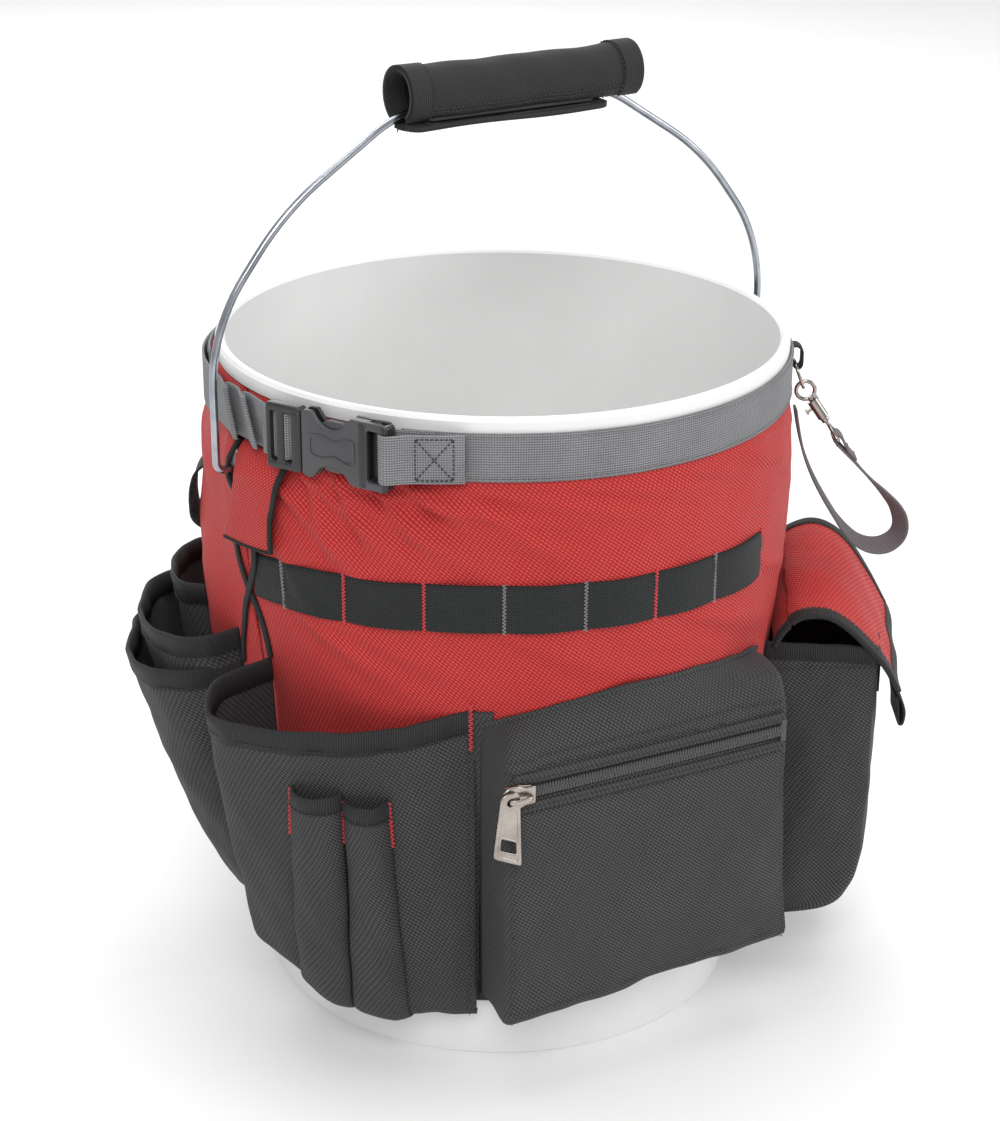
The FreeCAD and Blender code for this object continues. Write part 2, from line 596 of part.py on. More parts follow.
def rear_pockets(core):
    """Two deep pockets and a tape loop on the part of the back panel that faces away."""
    for name, start, end, low, high, peak in (
            ("rear_pocket_right", 98.0, 142.0, 45.0, 205.0, 186.0),
            ("rear_pocket_middle", 146.0, 208.0, 45.0, 196.0, 181.0)):
        levels = []
        for z, lift in ((low, 0.35), (low + 40, 0.7), (high, 1.0)):
            base = skirt_radius(z) + 0.6
            levels.append((z, bulge(start, end, base, base + lift * (peak - base))))
        add(name, largest(open_pouch(levels, [core])))


def hammer_loop(core):
    """A standing loop of webbing under the band on the left side of the back panel."""
    outer = [(150, 252), (157.4, 252), (167.0, 264), (167.0, 282), (160.0, 289), (150, 289)]
    inner = [(150, 254.6), (157.0, 254.6), (165.4, 265), (165.4, 281), (159.4, 287.4), (150, 287.4)]
    loop = side_solid(outer, -12.5, 12.5).cut(side_solid(inner, -13, 13))
    add("hammer_loop", to_bearing(loop, HAMMER_BEARING).cut(core))


# ---------------------------------------------------------------- lanyard

def lanyard():
    """A ring in a keeper under the band, a bolt snap on the ring and a looped strap on its swivel."""
    along = Vector(SNAP_TOP[0] - SNAP_EYE[0], 0, SNAP_TOP[1] - SNAP_EYE[1]).normalize()
    across = Vector(along.z, 0, -along.x)

    def place(shape):
        """From (depth, 0, z) coordinates in the xz plane to bearing 0, then to the lanyard's bearing."""
        turned = shape.copy()
        turned.rotate(ORIGIN, UP, -90)
        return to_bearing(turned, FLAP_BEARING)

    def at(t, side=0.0):
        return Vector(SNAP_EYE[0], 0, SNAP_EYE[1]) + along * t + across * side

    keeper = Part.makeBox(5.0, 9.0, 11.6, Vector(BAND_OUTER + 0.3, -4.5, 345.0))
    tunnel = Part.makeBox(3.5, 12.0, 5.8, Vector(BAND_OUTER + 0.8, -6.0, 345.9))
    add("ring_keeper", place(keeper.cut(tunnel)))

    down = Vector(0.35, 0, -0.937).normalize()
    ring = Part.makeTorus(RING_RADIUS, RING_WIRE, Vector(RING_CENTRE[0], 0, RING_CENTRE[1]),
                          Vector(0, 1, 0).cross(down))
    add("lanyard_ring", place(ring))

    loop_centre = at(SNAP_LOOP_T)
    loop = Part.makeTorus(SNAP_LOOP_RADIUS, SNAP_LOOP_WIRE, loop_centre, Vector(0, 1, 0))
    turn = FreeCAD.Rotation(Vector(0, 0, 1), along)
    barrel = Part.makeCylinder(3.1, 11.6, at(8.2), along)
    root = tilted(Part.makeBox(1.8, 2.4, 4.4, Vector(1.8, -1.2, 18.6)), at(0), turn)
    snap = fuse([loop, barrel, root])
    bolt_hole = Part.makeCylinder(1.62, 13.4, at(10.6), along)
    knob_slot = tilted(Part.makeBox(4.0, 1.8, 5.4, Vector(-4.0, -0.9, 11.2)), at(0), turn)
    swivel_bore = Part.makeCylinder(1.2, 3.0, at(8.0), along)
    add("snap_body", place(snap.cut(bolt_hole).cut(knob_slot).cut(swivel_bore)))

    bolt = Part.makeCylinder(1.54, 8.2, at(14.2), along)
    knob = tilted(Part.makeBox(5.6, 1.3, 1.6, Vector(-5.6, -0.65, 14.6)), at(0), turn)
    head = tilted(Part.makeBox(1.3, 4.0, 2.4, Vector(-6.4, -2.0, 14.2)), at(0), turn)
    add("snap_bolt", place(fuse([bolt, knob, head])))
    spring = Part.makeCylinder(1.45, 3.4, at(10.7), along).cut(Part.makeCylinder(0.9, 3.4, at(10.7), along))
    add("snap_spring", place(spring))

    stem = Part.makeCylinder(1.1, 7.6, at(2.6), along)
    eye_outer = Part.makeCylinder(5.0, 2.2, at(-1.6) + Vector(0, -1.1, 0), Vector(0, 1, 0))
    eye_inner = Part.makeCylinder(2.9, 3.0, at(-1.6) + Vector(0, -1.5, 0), Vector(0, 1, 0))
    add("snap_swivel_eye", place(fuse([eye_outer, stem]).cut(eye_inner)))

    points = [Vector(depth, 0, z) for depth, z in STRAP_ROUTE]
    wire = smooth_wire(points, even_bends(points))
    half = Vector(0, STRAP_WIDTH / 2, 0)
    run = (points[1] - points[0]).normalize()
    lift = Vector(run.z, 0, -run.x) * (STRAP_THICK / 2)
    start = points[0]
    section = Part.makePolygon([start - half - lift, start + half - lift, start + half + lift,
                                start - half + lift, start - half - lift])
    strap = wire.makePipeShell([section], True, False)
    add("lanyard_strap", place(strap))


def main():
    core = skirt_core()
    pail()
    bail_wire()
    grip()
    skirt()
    band()
    buckle()
    load_webbing()
    front_left_pocket(core)
    zip_pocket(core)
    zip_slider()
    flap_pocket(core)
    side_pockets(core)
    rear_pockets(core)
    skirt_hem()
    hammer_loop(core)
    lanyard()
    os.makedirs("parts", exist_ok=True)
    for name, shape in NODES.items():
        if not shape.isValid():
            print("invalid:", name)
        shape.exportStep("parts/" + name + ".step")
    print(len(NODES), "nodes")


main()
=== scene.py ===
"""Looks for the tool bucket organizer: fabric, webbing, zip, buckle, lanyard and pail.

Lengths are in millimetres until a mesh is made. A bearing is an angle about Z, 0 at the front and
growing towards +X, and depth is the distance from the axis along a bearing.
"""
import bpy
import math
import numpy as np
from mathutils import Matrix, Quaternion, Vector


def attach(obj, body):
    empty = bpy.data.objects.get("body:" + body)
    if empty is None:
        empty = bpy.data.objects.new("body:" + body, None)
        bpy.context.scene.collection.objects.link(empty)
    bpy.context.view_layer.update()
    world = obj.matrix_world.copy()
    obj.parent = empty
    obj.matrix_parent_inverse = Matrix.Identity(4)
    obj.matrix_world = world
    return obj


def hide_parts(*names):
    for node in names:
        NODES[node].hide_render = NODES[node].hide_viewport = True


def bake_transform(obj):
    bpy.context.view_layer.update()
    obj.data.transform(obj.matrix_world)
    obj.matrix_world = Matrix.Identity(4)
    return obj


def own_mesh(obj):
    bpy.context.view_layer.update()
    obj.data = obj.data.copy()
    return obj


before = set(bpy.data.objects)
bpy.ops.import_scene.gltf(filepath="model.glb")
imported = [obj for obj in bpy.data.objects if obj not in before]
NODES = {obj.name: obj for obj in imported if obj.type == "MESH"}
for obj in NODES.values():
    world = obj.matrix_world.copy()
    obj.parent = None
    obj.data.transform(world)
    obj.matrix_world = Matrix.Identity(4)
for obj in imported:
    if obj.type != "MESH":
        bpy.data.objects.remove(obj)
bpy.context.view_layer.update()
MM = 0.001
UP = np.array([0.0, 0.0, 1.0])
EAR_Z = 318.0
STRAP_WIDTH = 24.4


# ------------------------------------------------------------------ geometry helpers

def cyl(bearing, radius, z):
    """Points (mm) at bearings in degrees, radii and heights."""
    turn = np.radians(np.asarray(bearing, float))
    radius, z = np.asarray(radius, float), np.asarray(z, float)
    turn, radius, z = np.broadcast_arrays(turn, radius, z)
    return np.stack([radius * np.sin(turn), -radius * np.cos(turn), z], -1)


def local(bearing, s, depth, z):
    """Points (mm) at s along the tangent, depth outwards and height z, in a bearing's own frame."""
    turn = math.radians(bearing)
    s, depth, z = np.broadcast_arrays(np.asarray(s, float), np.asarray(depth, float), np.asarray(z, float))
    x = s * math.cos(turn) + depth * math.sin(turn)
    y = s * math.sin(turn) - depth * math.cos(turn)
    return np.stack([x, y, z], -1)


def bearing_of(points):
    return np.degrees(np.arctan2(points[..., 0], -points[..., 1]))


def tangents(path):
    return unit(np.gradient(path, axis=0))


def travel(path):
    """Distance along the path at each of its points."""
    return np.concatenate([[0], np.cumsum(np.linalg.norm(np.diff(path, axis=0), axis=1))])


def unit(vectors):
    size = np.linalg.norm(vectors, axis=-1, keepdims=True)
    return vectors / np.maximum(size, 1e-9)


def outward(points):
    flat = points * np.array([1.0, 1.0, 0.0])
    return unit(flat)


def spline(points, per=8):
    """Smooth curve through the points, with per samples in each interval."""
    points = np.asarray(points, float)
    ahead = np.vstack([2 * points[0] - points[1], points, 2 * points[-1] - points[-2]])
    rows = []
    for i in range(len(points) - 1):
        a, b, c, d = ahead[i:i + 4]
        t = np.linspace(0, 1, per, endpoint=False)[:, None]
        rows.append(0.5 * (2 * b + (c - a) * t + (2 * a - 5 * b + 4 * c - d) * t ** 2
                           + (3 * b - a - 3 * c + d) * t ** 3))
    rows.append(points[-1:])
    return np.vstack(rows)


def resample(path, count):
    """The same path with evenly spaced points."""
    along = travel(path)
    wanted = np.linspace(0, along[-1], count)
    return np.stack([np.interp(wanted, along, path[:, k]) for k in range(path.shape[1])], -1)


def add_object(name, data):
    made = bpy.data.objects.new(name, data)
    bpy.context.scene.collection.objects.link(made)
    return made


def curve_mesh(name, curve):
    """Vertices in mm and faces of a curve, through an object that is removed again."""
    holder = add_object(name, curve)
    bpy.context.view_layer.update()
    mesh = bpy.data.meshes.new_from_object(holder.evaluated_get(bpy.context.evaluated_depsgraph_get()))
    bpy.data.objects.remove(holder)
    places = np.array([v.co for v in mesh.vertices]) / MM
    faces = [tuple(p.vertices) for p in mesh.polygons]
    bpy.data.meshes.remove(mesh)
    return places, faces


def make_object(name, verts, faces, material, body, uvs=None, smooth=True):
    """A mesh object from vertices in mm. uvs is one (u, v) in mm for each face corner."""
    mesh = bpy.data.meshes.new(name)
    mesh.from_pydata((np.asarray(verts, float) * MM).tolist(), [], faces)
    if uvs is not None:
        layer = mesh.uv_layers.new(name="cloth")
        layer.data.foreach_set("uv", np.asarray(uvs, np.float32).ravel())
    mesh.materials.append(material)
    mesh.polygons.foreach_set("use_smooth", [smooth] * len(mesh.polygons))
    mesh.update()
    piece = add_object(name, mesh)
    if body is not None:
        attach(piece, body)
    return piece


def grid_travel(grid):
    """Mean distance along each of the two directions of a grid."""
    u_step = np.linalg.norm(np.diff(grid, axis=0), axis=2).mean(axis=1)
    v_step = np.linalg.norm(np.diff(grid, axis=1), axis=2).mean(axis=0)
    return np.concatenate([[0], np.cumsum(u_step)]), np.concatenate([[0], np.cumsum(v_step)])


def grid_normals(grid):
    along = np.gradient(grid, axis=0)
    across = np.gradient(grid, axis=1)
    return unit(np.cross(along, across))


def cloth(name, grid, thick, material, body, slot, flip=False):
    """A sheet whose outer face is the grid (n, m, 3) and whose thickness lies behind it."""
    n, m = grid.shape[:2]
    normal = grid_normals(grid) * (-1 if flip else 1)
    inner = grid - normal * thick
    verts = np.concatenate([grid.reshape(-1, 3), inner.reshape(-1, 3)])
    uv_grid = np.stack(np.meshgrid(*grid_travel(grid), indexing="ij"), -1).reshape(-1, 2)
    uv_all = np.concatenate([uv_grid, uv_grid])
    index = np.arange(n * m).reshape(n, m)
    a, b, c, d = index[:-1, :-1], index[1:, :-1], index[1:, 1:], index[:-1, 1:]
    front = np.stack([a, b, c, d], -1).reshape(-1, 4)
    if flip:
        front = front[:, ::-1]
    back = front[:, ::-1] + n * m
    rim = np.concatenate([index[:, 0], index[-1, 1:], index[::-1, -1][1:], index[0, ::-1][1:]])
    edge = np.stack([rim[:-1], rim[:-1] + n * m, rim[1:] + n * m, rim[1:]], -1)
    if flip:
        edge = edge[:, ::-1]
    faces = np.concatenate([front, back, edge])
    return make_object(name, verts, faces.tolist(), material, body, uv_all[faces.ravel()])


def sweep(name, origins, sides, ups, profile, material, body, slot):
    """A closed profile of (side, up) pairs in mm swept along a path with its own side and up vectors."""
    profile = np.asarray(profile, float)
    n, k = len(origins), len(profile)
    rings = (origins[:, None, :] + sides[:, None, :] * profile[None, :, :1]
             + ups[:, None, :] * profile[None, :, 1:])
    verts = rings.reshape(-1, 3)
    loop = np.vstack([profile, profile[:1]])
    u, v = travel(origins), travel(loop)
    faces, uvs = [], []
    for i in range(n - 1):
        for j in range(k):
            after = (j + 1) % k
            faces.append((i * k + j, i * k + after, (i + 1) * k + after, (i + 1) * k + j))
            uvs += [(u[i], v[j]), (u[i], v[j + 1]), (u[i + 1], v[j + 1]), (u[i + 1], v[j])]
    for ring, order in ((0, range(k - 1, -1, -1)), (n - 1, range(k))):
        faces.append(tuple(ring * k + j for j in order))
        uvs += [(profile[j][0] + u[ring], profile[j][1]) for j in order]
    return make_object(name, verts, faces, material, body, uvs)


def oval(width, thick, count=12, power=3.0):
    """Closed flattened profile, width by thick, with soft edges."""
    points = []
    for i in range(count):
        turn = 2 * math.pi * (i + 0.5) / count
        c, s = math.cos(turn), math.sin(turn)
        points.append((math.copysign(abs(c) ** (2 / power), c) * width / 2,
                       math.copysign(abs(s) ** (2 / power), s) * thick / 2))
    return points


def round_profile(radius, count=8):
    return [(radius * math.cos(2 * math.pi * i / count), radius * math.sin(2 * math.pi * i / count))
            for i in range(count)]


def path_frames(path, up):
    """Side and up vectors along a path. up is one vector or one for each point."""
    tangent = tangents(path)
    up = np.broadcast_to(up, path.shape)
    side = unit(np.cross(tangent, up))
    return side, unit(np.cross(side, tangent))


def tube(name, path, radius, material, body, slot, up=UP, count=8):
    side, lift = path_frames(path, up)
    return sweep(name, path, side, lift, round_profile(radius, count), material, body, slot)


def ribbon(name, path, normals, width, thick, material, body, slot):
    """A flat strap along a path. The normals point out of its face."""
    side, lift = path_frames(path, normals)
    profile = [(-width / 2, -thick * 0.3), (-width / 2, thick * 0.3), (-width / 2 + 0.5, thick / 2),
               (-width / 4, thick / 2), (0, thick / 2), (width / 4, thick / 2),
               (width / 2 - 0.5, thick / 2), (width / 2, thick * 0.3), (width / 2, -thick * 0.3),
               (width / 2 - 0.5, -thick / 2), (0, -thick / 2), (-width / 2 + 0.5, -thick / 2)]
    return sweep(name, path, side, lift, profile, material, body, slot)


THREAD_RINGS = np.array([(-0.5, 0.35, -0.9), (-0.42, 0.8, 0.0), (-0.15, 1.0, 0.55), (0.15, 1.0, 0.55),
                         (0.42, 0.8, 0.0), (0.5, 0.35, -0.9)])
THREAD_SIDES = 6


def threads(name, centres, along, normals, length, radius, material, body, slot):
    """Short stitches: one bowed piece of thread at each centre, lying along its direction."""
    centres, along, normals = (np.asarray(a, float).reshape(-1, 3) for a in (centres, along, normals))
    along = unit(along)
    side = unit(np.cross(normals, along))
    lift = unit(np.cross(along, side))
    turn = 2 * math.pi * np.arange(THREAD_SIDES) / THREAD_SIDES
    rows = []
    for place, swell, rise in THREAD_RINGS:
        middle = centres + along * (place * length) + lift * (rise * radius)
        ring = (middle[:, None, :] + side[:, None, :] * (np.cos(turn)[None, :, None] * radius * swell)
                + lift[:, None, :] * (np.sin(turn)[None, :, None] * radius * swell))
        rows.append(ring)
    verts = np.stack(rows, 1).reshape(-1, 3)
    one = []
    rings = len(THREAD_RINGS)
    for r in range(rings - 1):
        for j in range(THREAD_SIDES):
            after = (j + 1) % THREAD_SIDES
            one.append((r * THREAD_SIDES + j, r * THREAD_SIDES + after,
                        (r + 1) * THREAD_SIDES + after, (r + 1) * THREAD_SIDES + j))
    one = np.array(one)
    block = rings * THREAD_SIDES
    faces = (one[None] + (np.arange(len(centres)) * block)[:, None, None]).reshape(-1, 4)
    return make_object(name, verts, faces.tolist(), material, body)


def stitch_line(path, normals, pitch):
    """Centres, directions and normals of stitches at a pitch along a path."""
    count = max(2, int(travel(path)[-1] / pitch) + 1)
    even = resample(path, count)
    normal = unit(resample(np.broadcast_to(normals, path.shape), count))
    middle = (even[1:] + even[:-1]) / 2
    return middle, even[1:] - even[:-1], unit(normal[1:] + normal[:-1])


def stitching(name, runs, pitch, radius, material, body, slot):
    """Rows of running stitch. Each run is a path and its normals."""
    parts = [stitch_line(path, normals, pitch) for path, normals in runs]
    centres, along, normals = (np.vstack([part[k] for part in parts]) for k in range(3))
    return threads(name, centres, along, normals, pitch * 0.8, radius, material, body, slot)


def plate(name, outlines, thick, bevel, origin, x_axis, y_axis, material, body, slot):
    """A flat moulding with rounded edges. The first outline is its rim, and the others are holes."""
    curve = bpy.data.curves.new(name, "CURVE")
    curve.dimensions = "2D"
    curve.fill_mode = "BOTH"
    for outline in outlines:
        line = curve.splines.new("POLY")
        line.points.add(len(outline) - 1)
        for point, (x, y) in zip(line.points, outline):
            point.co = (x * MM, y * MM, 0, 1)
        line.use_cyclic_u = True
    curve.extrude = (thick / 2 - bevel) * MM
    curve.bevel_depth = bevel * MM
    curve.bevel_resolution = 3
    curve.offset = -bevel * MM
    flat, faces = curve_mesh(name + "_curve", curve)
    x_axis, y_axis = unit(np.asarray(x_axis, float)), unit(np.asarray(y_axis, float))
    z_axis = np.cross(x_axis, y_axis)
    placed = np.asarray(origin, float) + flat @ np.stack([x_axis, y_axis, z_axis])
    piece = make_object(name, placed, faces, material, body)
    weld = piece.modifiers.new("weld", "WELD")
    weld.merge_threshold = 0.00001
    piece.data.shade_smooth()
    return piece


def block(low, high, half, radius):
    """A rounded rectangle from low to high along x and half to either side of it."""
    return rounded([(low, -half), (high, -half), (high, half), (low, half)], radius)


def rounded(points, radius, per=4):
    """A closed outline with its corners rounded."""
    points = [np.asarray(p, float) for p in points]
    result = []
    for i, corner in enumerate(points):
        before, after = points[i - 1], points[(i + 1) % len(points)]
        reach = min(radius, np.linalg.norm(before - corner) * 0.45, np.linalg.norm(after - corner) * 0.45)
        start = corner + unit(before - corner) * reach
        end = corner + unit(after - corner) * reach
        for t in np.linspace(0, 1, per):
            result.append(tuple((1 - t) ** 2 * start + 2 * t * (1 - t) * corner + t ** 2 * end))
    return result


# ------------------------------------------------------------------ materials

class Tree:
    """A material with its principled shader and short calls for the nodes that feed it."""

    def __init__(self, name):
        self.material = bpy.data.materials.new(name)
        self.material.use_nodes = True
        self.nodes = self.material.node_tree.nodes
        self.links = self.material.node_tree.links
        self.shader = self.nodes["Principled BSDF"]

    def set(self, **values):
        for key, value in values.items():
            words = [word if word.isupper() else word.capitalize() for word in key.split("_")]
            self.shader.inputs[" ".join(words)].default_value = value

    def node(self, kind, **options):
        made = self.nodes.new(kind)
        for key, value in options.items():
            setattr(made, key, value)
        return made

    def math(self, operation, a, b=0.0, clamp=False):
        made = self.node("ShaderNodeMath", operation=operation, use_clamp=clamp)
        for socket, value in zip(made.inputs, (a, b)):
            if isinstance(value, (int, float)):
                socket.default_value = value
            else:
                self.links.new(value, socket)
        return made.outputs[0]

    def wave(self, value, factor):
        return self.math("SINE", self.math("MULTIPLY", value, factor))

    def mixed(self, a, share_a, b, share_b):
        return self.math("ADD", self.math("MULTIPLY", a, share_a), self.math("MULTIPLY", b, share_b))

    def uv(self):
        source = self.node("ShaderNodeUVMap", uv_map="cloth")
        parts = self.node("ShaderNodeSeparateXYZ")
        self.links.new(source.outputs[0], parts.inputs[0])
        return parts.outputs[0], parts.outputs[1]

    def position(self):
        return self.node("ShaderNodeTexCoord").outputs["Object"]

    def noise(self, scale, detail=3.0, rough=0.55, stretch=None, vector=None):
        source = self.position() if vector is None else vector
        if stretch:
            mapping = self.node("ShaderNodeMapping")
            mapping.inputs["Scale"].default_value = stretch
            self.links.new(source, mapping.inputs[0])
            source = mapping.outputs[0]
        made = self.node("ShaderNodeTexNoise")
        made.inputs["Scale"].default_value = scale
        made.inputs["Detail"].default_value = detail
        made.inputs["Roughness"].default_value = rough
        self.links.new(source, made.inputs["Vector"])
        return made.outputs[0]

    def remap(self, value, low, high, to_low, to_high):
        made = self.node("ShaderNodeMapRange")
        made.inputs["From Min"].default_value = low
        made.inputs["From Max"].default_value = high
        made.inputs["To Min"].default_value = to_low
        made.inputs["To Max"].default_value = to_high
        self.links.new(value, made.inputs["Value"])
        return made.outputs[0]

    def blend(self, amount, dark, light):
        made = self.node("ShaderNodeMix", data_type="RGBA")
        for socket, value in ((made.inputs[6], dark), (made.inputs[7], light)):
            if isinstance(value, tuple):
                socket.default_value = (*value, 1.0)
            else:
                self.links.new(value, socket)
        self.links.new(amount, made.inputs[0])
        return made.outputs[2]

    def colour(self, socket):
        self.links.new(socket, self.shader.inputs["Base Color"])

    def roughness(self, socket):
        self.links.new(socket, self.shader.inputs["Roughness"])

    def bump(self, height, distance_mm, strength=1.0, under=None):
        made = self.node("ShaderNodeBump")
        made.inputs["Distance"].default_value = distance_mm * MM
        made.inputs["Strength"].default_value = strength
        self.links.new(height, made.inputs["Height"])
        if under is not None:
            self.links.new(under, made.inputs["Normal"])
        self.links.new(made.outputs[0], self.shader.inputs["Normal"])
        return made.outputs[0]


def woven(name, dark, light, pitch, relief, rough=0.8, sheen=0.05, tint=None, patches=0.16):
    """Heavy weave whose knobs line up in slanted rows. The pitch is across the rows, in mm."""
    t = Tree(name)
    u, v = t.uv()
    k = math.pi / pitch
    rows = t.wave(t.math("ADD", t.math("MULTIPLY", u, 0.82), v), k * 0.77)
    picks = t.wave(t.math("SUBTRACT", u, t.math("MULTIPLY", v, 0.55)), k * 0.62)
    knob = t.math("ABSOLUTE", t.math("MULTIPLY", rows, picks))
    ridge = t.math("ABSOLUTE", rows)
    height = t.mixed(knob, 0.68, ridge, 0.32)
    cloud = t.noise(28.0, 3.0)
    fine = t.noise(900.0, 2.0)
    # Colour follows the relief: knob tops lighter and grooves darker, a painted highlight and painted shade,
    # mixed with fine fibre tone.
    painted_relief_light_and_fibre = t.mixed(t.math("POWER", height, 1.35), 0.9, fine, 0.22)
    base = t.blend(painted_relief_light_and_fibre, dark, light)
    if tint is not None:
        base = t.blend(t.remap(cloud, 0.35, 0.7, 0.0, patches), base, tint)
    t.colour(base)
    t.roughness(t.remap(height, 0.0, 1.0, min(rough + 0.12, 1.0), rough - 0.06))
    t.bump(height, relief, 0.9)
    t.set(sheen_weight=sheen, sheen_roughness=0.45, specular_IOR_level=0.22)
    return t.material


def webbing(name, dark, light, rib, relief, rough=0.62, sheen=0.05, across=0.0):
    """Narrow woven tape with a fine dotted weave, or with plain ribs across it."""
    t = Tree(name)
    u, v = t.uv()
    ribs = t.math("ABSOLUTE", t.wave(u, math.pi / rib))
    if across:
        yarns = t.math("ABSOLUTE", t.wave(v, math.pi / across))
        height = t.mixed(t.math("MULTIPLY", ribs, yarns), 0.75, yarns, 0.25)
    else:
        height = ribs
    fine = t.noise(700.0, 2.0)
    # Colour follows the relief: rib tops lighter and grooves darker, a painted highlight and painted shade,
    # mixed with fine fibre tone.
    painted_relief_light_and_fibre = t.mixed(height, 0.85, fine, 0.2)
    base = t.blend(painted_relief_light_and_fibre, dark, light)
    cloud = t.noise(40.0, 2.0)
    base = t.blend(t.remap(cloud, 0.4, 0.75, 0.0, 0.22), base, dark)
    t.colour(base)
    t.roughness(t.remap(height, 0.0, 1.0, rough + 0.15, rough - 0.05))
    t.bump(height, relief, 0.9)
    t.set(sheen_weight=sheen, sheen_roughness=0.4, specular_IOR_level=0.28)
    return t.material


def thread(name, dark, light):
    t = Tree(name)
    fine = t.noise(1600.0, 2.0)
    t.colour(t.blend(fine, dark, light))
    t.roughness(t.remap(fine, 0.2, 0.8, 0.5, 0.75))
    t.bump(fine, 0.06, 0.7)
    t.set(sheen_weight=0.3, sheen_roughness=0.4)
    return t.material


def moulded(name, dark, light, rough, grain, relief, scuff=0.5, specular=0.5, IOR=1.49):
    """Moulded plastic with a fine spark-eroded grain and light scuffs."""
    t = Tree(name)
    speck = t.noise(grain, 3.0)
    cloud = t.noise(24.0, 4.0)
    streak = t.noise(120.0, 3.0, 0.6, (1.0, 1.0, 0.12))
    t.colour(t.blend(t.remap(cloud, 0.3, 0.7, 0.0, 1.0), dark, light))
    worn = t.math("ADD", t.remap(cloud, 0.3, 0.75, rough - 0.05, rough + 0.08),
        t.remap(streak, 0.6, 0.8, 0.0, scuff * 0.12))
    t.roughness(worn)
    t.bump(speck, relief, 0.6)
    t.set(specular_IOR_level=specular, IOR=IOR)
    return t.material


def metal(name, dark, light, rough, streak_scale, relief, stretch=(1.0, 1.0, 1.0)):
    t = Tree(name)
    streak = t.noise(streak_scale, 4.0, 0.6, stretch)
    cloud = t.noise(60.0, 3.0)
    t.colour(t.blend(t.remap(cloud, 0.3, 0.7, 0.0, 1.0), dark, light))
    t.roughness(t.remap(streak, 0.3, 0.7, rough * 0.75, rough * 1.35))
    t.bump(streak, relief, 0.5)
    t.set(metallic=1.0)
    return t.material


RED = woven("red_nylon", (0.22, 0.006, 0.008), (0.70, 0.066, 0.060), 1.55, 0.40, 0.6, 0.05,
            tint=(0.44, 0.016, 0.015))
BLACK = woven("black_polyester", (0.0075, 0.0075, 0.008), (0.090, 0.091, 0.093), 1.5, 0.34, 0.66, 0.03,
              tint=(0.034, 0.034, 0.035), patches=0.4)
GRIP = woven("charcoal_twill", (0.006, 0.006, 0.007), (0.045, 0.045, 0.048), 0.95, 0.2, 0.75, 0.08,
             tint=(0.026, 0.026, 0.028), patches=0.35)
HEM = webbing("hem_tape", (0.0045, 0.0045, 0.005), (0.030, 0.031, 0.032), 1.25, 0.26, 0.66)
BINDING = webbing("binding_tape", (0.003, 0.003, 0.0034), (0.017, 0.0175, 0.018), 1.25, 0.26, 0.7)
GREY_WEB = webbing("grey_webbing", (0.068, 0.069, 0.074), (0.33, 0.335, 0.345), 1.25, 0.3, across=1.25)
BLACK_WEB = webbing("black_webbing", (0.0045, 0.005, 0.0052), (0.026, 0.0285, 0.0295), 1.25, 0.3, across=1.25)
MAUVE_WEB = webbing("mauve_webbing", (0.060, 0.052, 0.056), (0.235, 0.212, 0.222), 1.1, 0.25, across=1.1)
TAPE = webbing("zip_tape", (0.004, 0.004, 0.0045), (0.022, 0.022, 0.024), 0.9, 0.14, 0.7, across=0.9)
RED_THREAD = thread("red_thread", (0.34, 0.010, 0.014), (0.74, 0.045, 0.055))
GREY_THREAD = thread("grey_thread", (0.10, 0.085, 0.095), (0.27, 0.235, 0.25))
BLACK_THREAD = thread("black_thread", (0.004, 0.004, 0.0045), (0.020, 0.020, 0.022))
# The coil is dark nylon coloured much lighter than the tape: partly its own colour, partly a painted
# highlight on its ribs.
COIL = thread("zip_coil", (0.012, 0.012, 0.013), (0.095, 0.095, 0.10))
ACETAL = moulded("acetal", (0.040, 0.041, 0.044), (0.062, 0.063, 0.067), 0.36, 700.0, 0.05)
# A darker copy of the same black acetal, used on the buckle's back plate, bars, ladder and shoulder as
# painted shade.
SHADED_ACETAL = moulded("shaded_acetal", (0.014, 0.014, 0.015), (0.024, 0.024, 0.027), 0.32, 700.0, 0.05)
HDPE = moulded("hdpe_white", (0.76, 0.76, 0.755), (0.79, 0.79, 0.785), 0.36, 160.0, 0.04, 0.6, 0.45, 1.52)
ZINC = metal("zinc_wire", (0.27, 0.29, 0.33), (0.46, 0.48, 0.52), 0.17, 500.0, 0.03)
NICKEL = metal("satin_nickel", (0.30, 0.265, 0.235), (0.48, 0.44, 0.40), 0.25, 700.0, 0.03)
CHROME = metal("bright_nickel", (0.26, 0.235, 0.215), (0.46, 0.43, 0.40), 0.15, 500.0, 0.02)
HOOKS = woven("hook_and_loop", (0.005, 0.005, 0.005), (0.034, 0.034, 0.036), 0.7, 0.5, 0.9, 0.2)

# Looks: material, body and material slot of a piece
CLOTH = (BLACK, "organizer", "black_fabric")
RED_CLOTH = (RED, "organizer", "red_fabric")
HEM_LOOK = (HEM, "organizer", "black_fabric")
BOUND = (BINDING, "organizer", "black_fabric")
SEAM = (BLACK_THREAD, "organizer", "black_fabric")
DARK_SEAM = (BLACK_THREAD, "organizer", "grey_thread")
GREY_SEAM = (GREY_THREAD, "organizer", "grey_thread")
GREY_STRAP = (GREY_WEB, "organizer", "grey_webbing")
BLACK_STRAP = (BLACK_WEB, "organizer", "black_webbing")
LANYARD_LOOK = (MAUVE_WEB, "organizer", "grey_webbing")
SNAP = (CHROME, "organizer", "nickel")
ZIP_COIL = (COIL, "organizer", "zip_coil")
LID_HEM = (HEM, "pocket_lid", "black_fabric")


# ------------------------------------------------------------------ camera, floor and light

